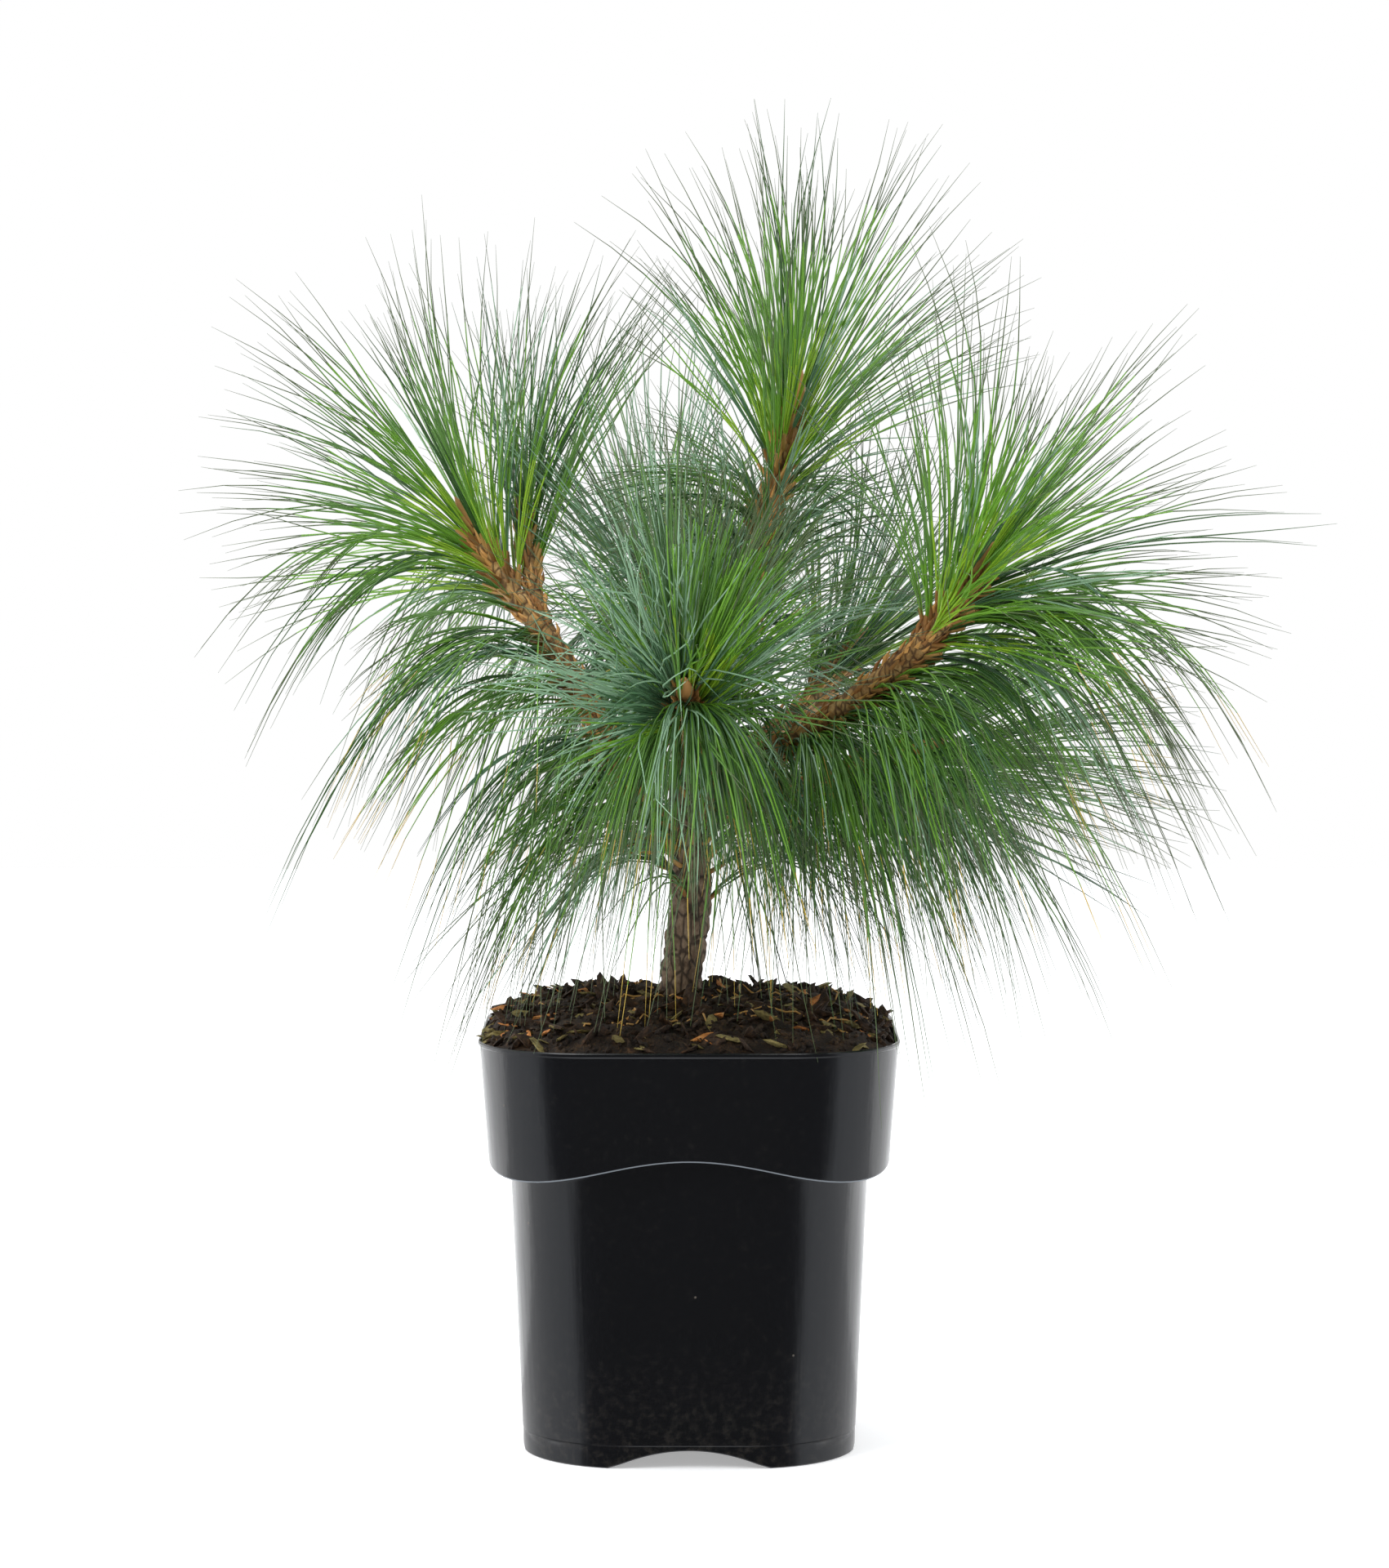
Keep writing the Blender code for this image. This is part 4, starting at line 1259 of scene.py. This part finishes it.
# Lumps: how many to a metre, and how high
LUMPS = ((75, 0.0046), (190, 0.0034), (430, 0.0018))
# They die out towards this distance, and are lower beside the trunk
LUMPS_END = 0.0915
LUMPS_FADE = 0.006
TRUNK_FADE = 0.02
TRUNK_LUMPS = 0.25
# The level of the noise field that the lumps are read at
LUMPS_FIELD = 0.3

SOIL_HALF = 0.0922
SOIL_RINGS = 64
INNERMOST = 0.02
# The soil stays this far inside the pot's outer faces, and this far above its floor and ledge
SOIL_INSET = 0.002
FLOOR_GAP = 0.0003
LEDGE_GAP = 0.0004


def clamp(value, least, most=1.0):
    return min(most, max(least, value))


def mound_level(x, y):
    """The soil's height: level at the rim, rising to the foot of the trunk, with crumbs and hollows."""
    far = (abs(x) ** MOUND_SQUARENESS + abs(y) ** MOUND_SQUARENESS) ** (1 / MOUND_SQUARENESS)
    smooth = np.interp(far, MOUND_PLACES, MOUND_LEVELS)
    spot = Vector((x, y, LUMPS_FIELD))
    lumps = sum(pattern.noise(spot * scale) * height for scale, height in LUMPS)
    still = clamp((LUMPS_END - far) / LUMPS_FADE, 0.0)
    return smooth + lumps * still * clamp(far / TRUNK_FADE, TRUNK_LUMPS)


def mound_ring(share):
    """One ring of the mound, as a share of its whole width."""
    half = SOIL_HALF * share
    return half, lambda place, _: mound_level(place.x, place.y), CORNER_RADIUS * half / RIM_HALF


soil = loft("soil_mound", [
    (FOOT_HALF - SOIL_INSET, FLOOR_TOP + FLOOR_GAP),
    (BODY_TOP_HALF - SOIL_INSET, collar(LEDGE_GAP)),
    (COLLAR_HALF - SOIL_INSET, collar(COLLAR_EDGE_DEPTH + LEDGE_GAP)),
    *(mound_ring(share) for share in np.linspace(1, INNERMOST, SOIL_RINGS)),
])
soil.data.shade_smooth()
soil.data.materials.append(finish["soil"])
hand_in(soil, slot_of["soil"], "soil")


# Bits of bark and dry needles on the soil

CHIP_JAGS = (0.6, 1.15)
# Chips lie above this level, clear of the rim
CHIPS_ABOVE = 0.1886
# In radians, to four places
FULL_TURN = 6.2832
# Least and most size of a chip, as a share of its kind's
CHIP_LEAST = 0.4
CHIP_MOST = 1.5
# Kinds of chip: size, how many to a square metre, finish, tilt in radians and seed
CHIPS = {
    "crumbs": ((0.0019, 0.0015, 0.0012), 62000.0, "soil", 3.0, 6),
    "dark_chips": ((0.0070, 0.0026, 0.0010), 14000.0, "chip_dark", 1.0, 10),
    "olive_chips": ((0.0072, 0.0034, 0.0009), 5200.0, "chip_olive", 0.6, 11),
    "orange_chips": ((0.0078, 0.0022, 0.0009), 2400.0, "chip_orange", 0.6, 12),
}

DRY_NEEDLES = 70
DRY_NEEDLE_JOINTS = 6
DRY_NEEDLE_RADIUS = 0.0005
DRY_NEEDLE_LENGTHS = (0.008, 0.028)
DRY_NEEDLE_SIDES = 4
# They lie within this half width, this far above the soil, and bend by this much
LITTER_HALF = 0.075
LITTER_LIFT = 0.0012
LITTER_BEND = 0.002
LITTER_BEND_TURN = 4


def chip_mesh(name, size, seed):
    """One jagged flake of bark."""
    chance = np.random.default_rng(seed)
    bm = bmesh.new()
    bmesh.ops.create_icosphere(bm, subdivisions=1, radius=1.0)
    for vertex in bm.verts:
        vertex.co = Vector(vertex.co[k] * size[k] * chance.uniform(*CHIP_JAGS) for k in range(3))
    mesh = bpy.data.meshes.new(name)
    bm.to_mesh(mesh)
    bm.free()
    return mesh


def scatter_group():
    """Lays copies of a shape on the higher part of a surface, turned and sized at random."""
    tree, nodes, keys = new_group("scatter", [
        ("Density", "NodeSocketFloat", 20000.0), ("Seed", "NodeSocketInt", 1),
        ("Tilt", "NodeSocketFloat", 0.5), ("Least", "NodeSocketFloat", CHIP_LEAST),
        ("Most", "NodeSocketFloat", CHIP_MOST), ("Shape", "NodeSocketObject", None),
        ("Finish", "NodeSocketMaterial", None),
    ])
    given = nodes.make("NodeGroupInput")
    place = nodes.make("GeometryNodeInputPosition")
    level = nodes.make("ShaderNodeSeparateXYZ", None, {0: place}).out("Z")
    points = nodes.make("GeometryNodeDistributePointsOnFaces", None, {
        "Mesh": given.out("Geometry"), "Density": given.out("Density"), "Seed": given.out("Seed"),
        "Selection": compare(nodes, "FLOAT", "GREATER_THAN", level, CHIPS_ABOVE),
    })
    tilt = given.number("Tilt")
    back = tilt * -1.0
    low = nodes.make("ShaderNodeCombineXYZ", None, {"X": back, "Y": back, "Z": 0.0})
    high = nodes.make("ShaderNodeCombineXYZ", None, {"X": tilt, "Y": tilt, "Z": FULL_TURN})
    turn = nodes.make("FunctionNodeRandomValue", {"data_type": "FLOAT_VECTOR"}, {0: low, 1: high})
    sizes = {2: given.out("Least"), 3: given.out("Most")}
    size = nodes.make("FunctionNodeRandomValue", {"data_type": "FLOAT"}, sizes)
    source = nodes.make("GeometryNodeObjectInfo", None, {"Object": given.out("Shape")})
    laid = nodes.make("GeometryNodeInstanceOnPoints", None, {
        "Points": points.out("Points"), "Instance": source.out("Geometry"), "Rotation": turn.out(0),
        "Scale": size.out(1),
    })
    real = nodes.make("GeometryNodeRealizeInstances", None, {0: laid})
    worn = nodes.make("GeometryNodeSetMaterial", None, {"Geometry": real, "Material": given.out("Finish")})
    nodes.make("NodeGroupOutput", None, {"Geometry": worn})
    return tree, keys


def scatter_chips(name, size, density, material, tilt, seed):
    shape = link(name + "_shape", chip_mesh(name, size, seed))
    ground = link(name + "_ground", soil.data.copy())
    run_group(ground, scatter, Density=density, Seed=seed, Tilt=tilt, Least=CHIP_LEAST, Most=CHIP_MOST,
              Shape=shape, Finish=finish[material])
    piece = settle(ground, name)
    bpy.data.objects.remove(shape)
    drop_unused_slots(piece.data)
    hand_in(piece, slot_of["soil"])


def dry_needle(chance):
    """The line of one fallen needle, which follows the soil."""
    x, y = chance.uniform(-LITTER_HALF, LITTER_HALF, 2)
    turn = chance.uniform(0, 2 * math.pi)
    size = chance.uniform(*DRY_NEEDLE_LENGTHS)
    line = []
    for share in np.linspace(-0.5, 0.5, DRY_NEEDLE_JOINTS):
        px = x + math.cos(turn) * size * share
        py = y + math.sin(turn) * size * share + LITTER_BEND * math.cos(share * LITTER_BEND_TURN)
        line.append((px, py, mound_level(px, py) + LITTER_LIFT))
    return np.array(line)


scatter = scatter_group()
for name, (size, density, material, tilt, seed) in CHIPS.items():
    scatter_chips(name, size, density, material, tilt, seed)

chance = np.random.default_rng(LITTER_SEED)
litter = Lines()
shape = DRY_NEEDLE_RADIUS * tapered(DRY_NEEDLE_JOINTS, tip_from=0.8, tip=0.4)
for _ in range(DRY_NEEDLES):
    litter.add(dry_needle(chance)[None], shape, SMALL_KINDS["dry_needle"])
hand_in(litter.draw("needle_litter", small_group, DRY_NEEDLE_SIDES), slot_of["soil"])


# Studio

FLOOR_HALF = 3.0
FLOOR_WHITE = (0.92, 0.92, 0.92, 1.0)
FLOOR_ROUGHNESS = 0.6
FLOOR_GLOW = 0.35
# In front of this line the floor is left out of reflections, so that the pot's face stays dark
FLOOR_EDGE = 0.10
WHITE = (1.0, 1.0, 1.0, 1.0)
# The world's light, from in front of the plant to behind it
SKY = [
    (0.0, (0.10, 0.10, 0.10, 1.0)), (0.17, (0.11, 0.11, 0.12, 1.0)),
    (0.25, (0.90, 0.94, 1.0, 1.0)), (1.0, (1.04, 1.04, 1.05, 1.0)),
]
# Lamps: place, width, power in watts, and whether reflections show them
LAMPS = {
    "key": ((-1.5, -1.4, 1.8), 1.0, 28, False),
    "left": ((-1.8, 0.3, 1.0), 1.4, 14, True),
    "right": ((1.8, 0.3, 1.0), 1.4, 12, True),
    "top": ((0.1, 0.1, 2.4), 1.8, 24, True),
    "front": ((0.5, -2.4, 0.9), 1.6, 7, False),
}
LAMPS_AIM = Vector((0, 0, 0.3))
CLIP_END = 20


def lay_floor(name, front, back, mirrored, material):
    mesh = bpy.data.meshes.new(name)
    corners = [
        (-FLOOR_HALF, front, 0), (FLOOR_HALF, front, 0), (FLOOR_HALF, back, 0), (-FLOOR_HALF, back, 0),
    ]
    mesh.from_pydata(corners, [], [(0, 1, 2, 3)])
    mesh.materials.append(material)
    floor = link(name, mesh)
    floor.visible_glossy = mirrored


def light_world():
    """A world that the camera sees as white, and that is dark in front of the plant."""
    world = bpy.data.worlds.new("studio")
    bpy.context.scene.world = world
    world.use_nodes = True
    nodes = Nodes(world.node_tree)
    place = nodes.make("ShaderNodeTexCoord").out("Generated")
    depth = nodes.make("ShaderNodeSeparateXYZ", None, {0: place}).number("Y")
    seen = nodes.make("ShaderNodeLightPath").out("Is Camera Ray")
    colour = nodes.blend(seen, nodes.ramp(depth * 0.5 + 0.5, SKY), WHITE)
    nodes.feed(world.node_tree.nodes["Background"].inputs["Color"], colour)


def hang_lamp(name, place, size, power, mirrored):
    light = bpy.data.lights.new(name, "AREA")
    light.size = size
    light.energy = power
    lamp = link(name, light)
    lamp.location = place
    lamp.rotation_euler = (LAMPS_AIM - Vector(place)).to_track_quat("-Z", "Y").to_euler()
    lamp.visible_glossy = mirrored


def set_camera():
    camera = bpy.data.cameras.new("camera")
    camera.sensor_width = SENSOR
    camera.lens = FOCAL_PIXELS * SENSOR / PHOTO_HEIGHT
    camera.clip_end = CLIP_END
    eye = link("camera", camera)
    eye.location = CAMERA_PLACE
    eye.rotation_euler = Euler((math.radians(90 - CAMERA_TILT), 0, 0))
    bpy.context.scene.camera = eye
    bpy.context.scene.view_settings.view_transform = "Standard"


def make_studio():
    material, _, shader = blank_material("floor_white")
    shader.inputs["Base Color"].default_value = FLOOR_WHITE
    shader.inputs["Roughness"].default_value = FLOOR_ROUGHNESS
    shader.inputs["Emission Color"].default_value = WHITE
    shader.inputs["Emission Strength"].default_value = FLOOR_GLOW
    lay_floor("floor", FLOOR_EDGE, FLOOR_HALF, True, material)
    lay_floor("apron", -FLOOR_HALF, FLOOR_EDGE, False, material)
    light_world()
    for name, (place, size, power, mirrored) in LAMPS.items():
        hang_lamp(name, place, size, power, mirrored)
    set_camera()


make_studio()
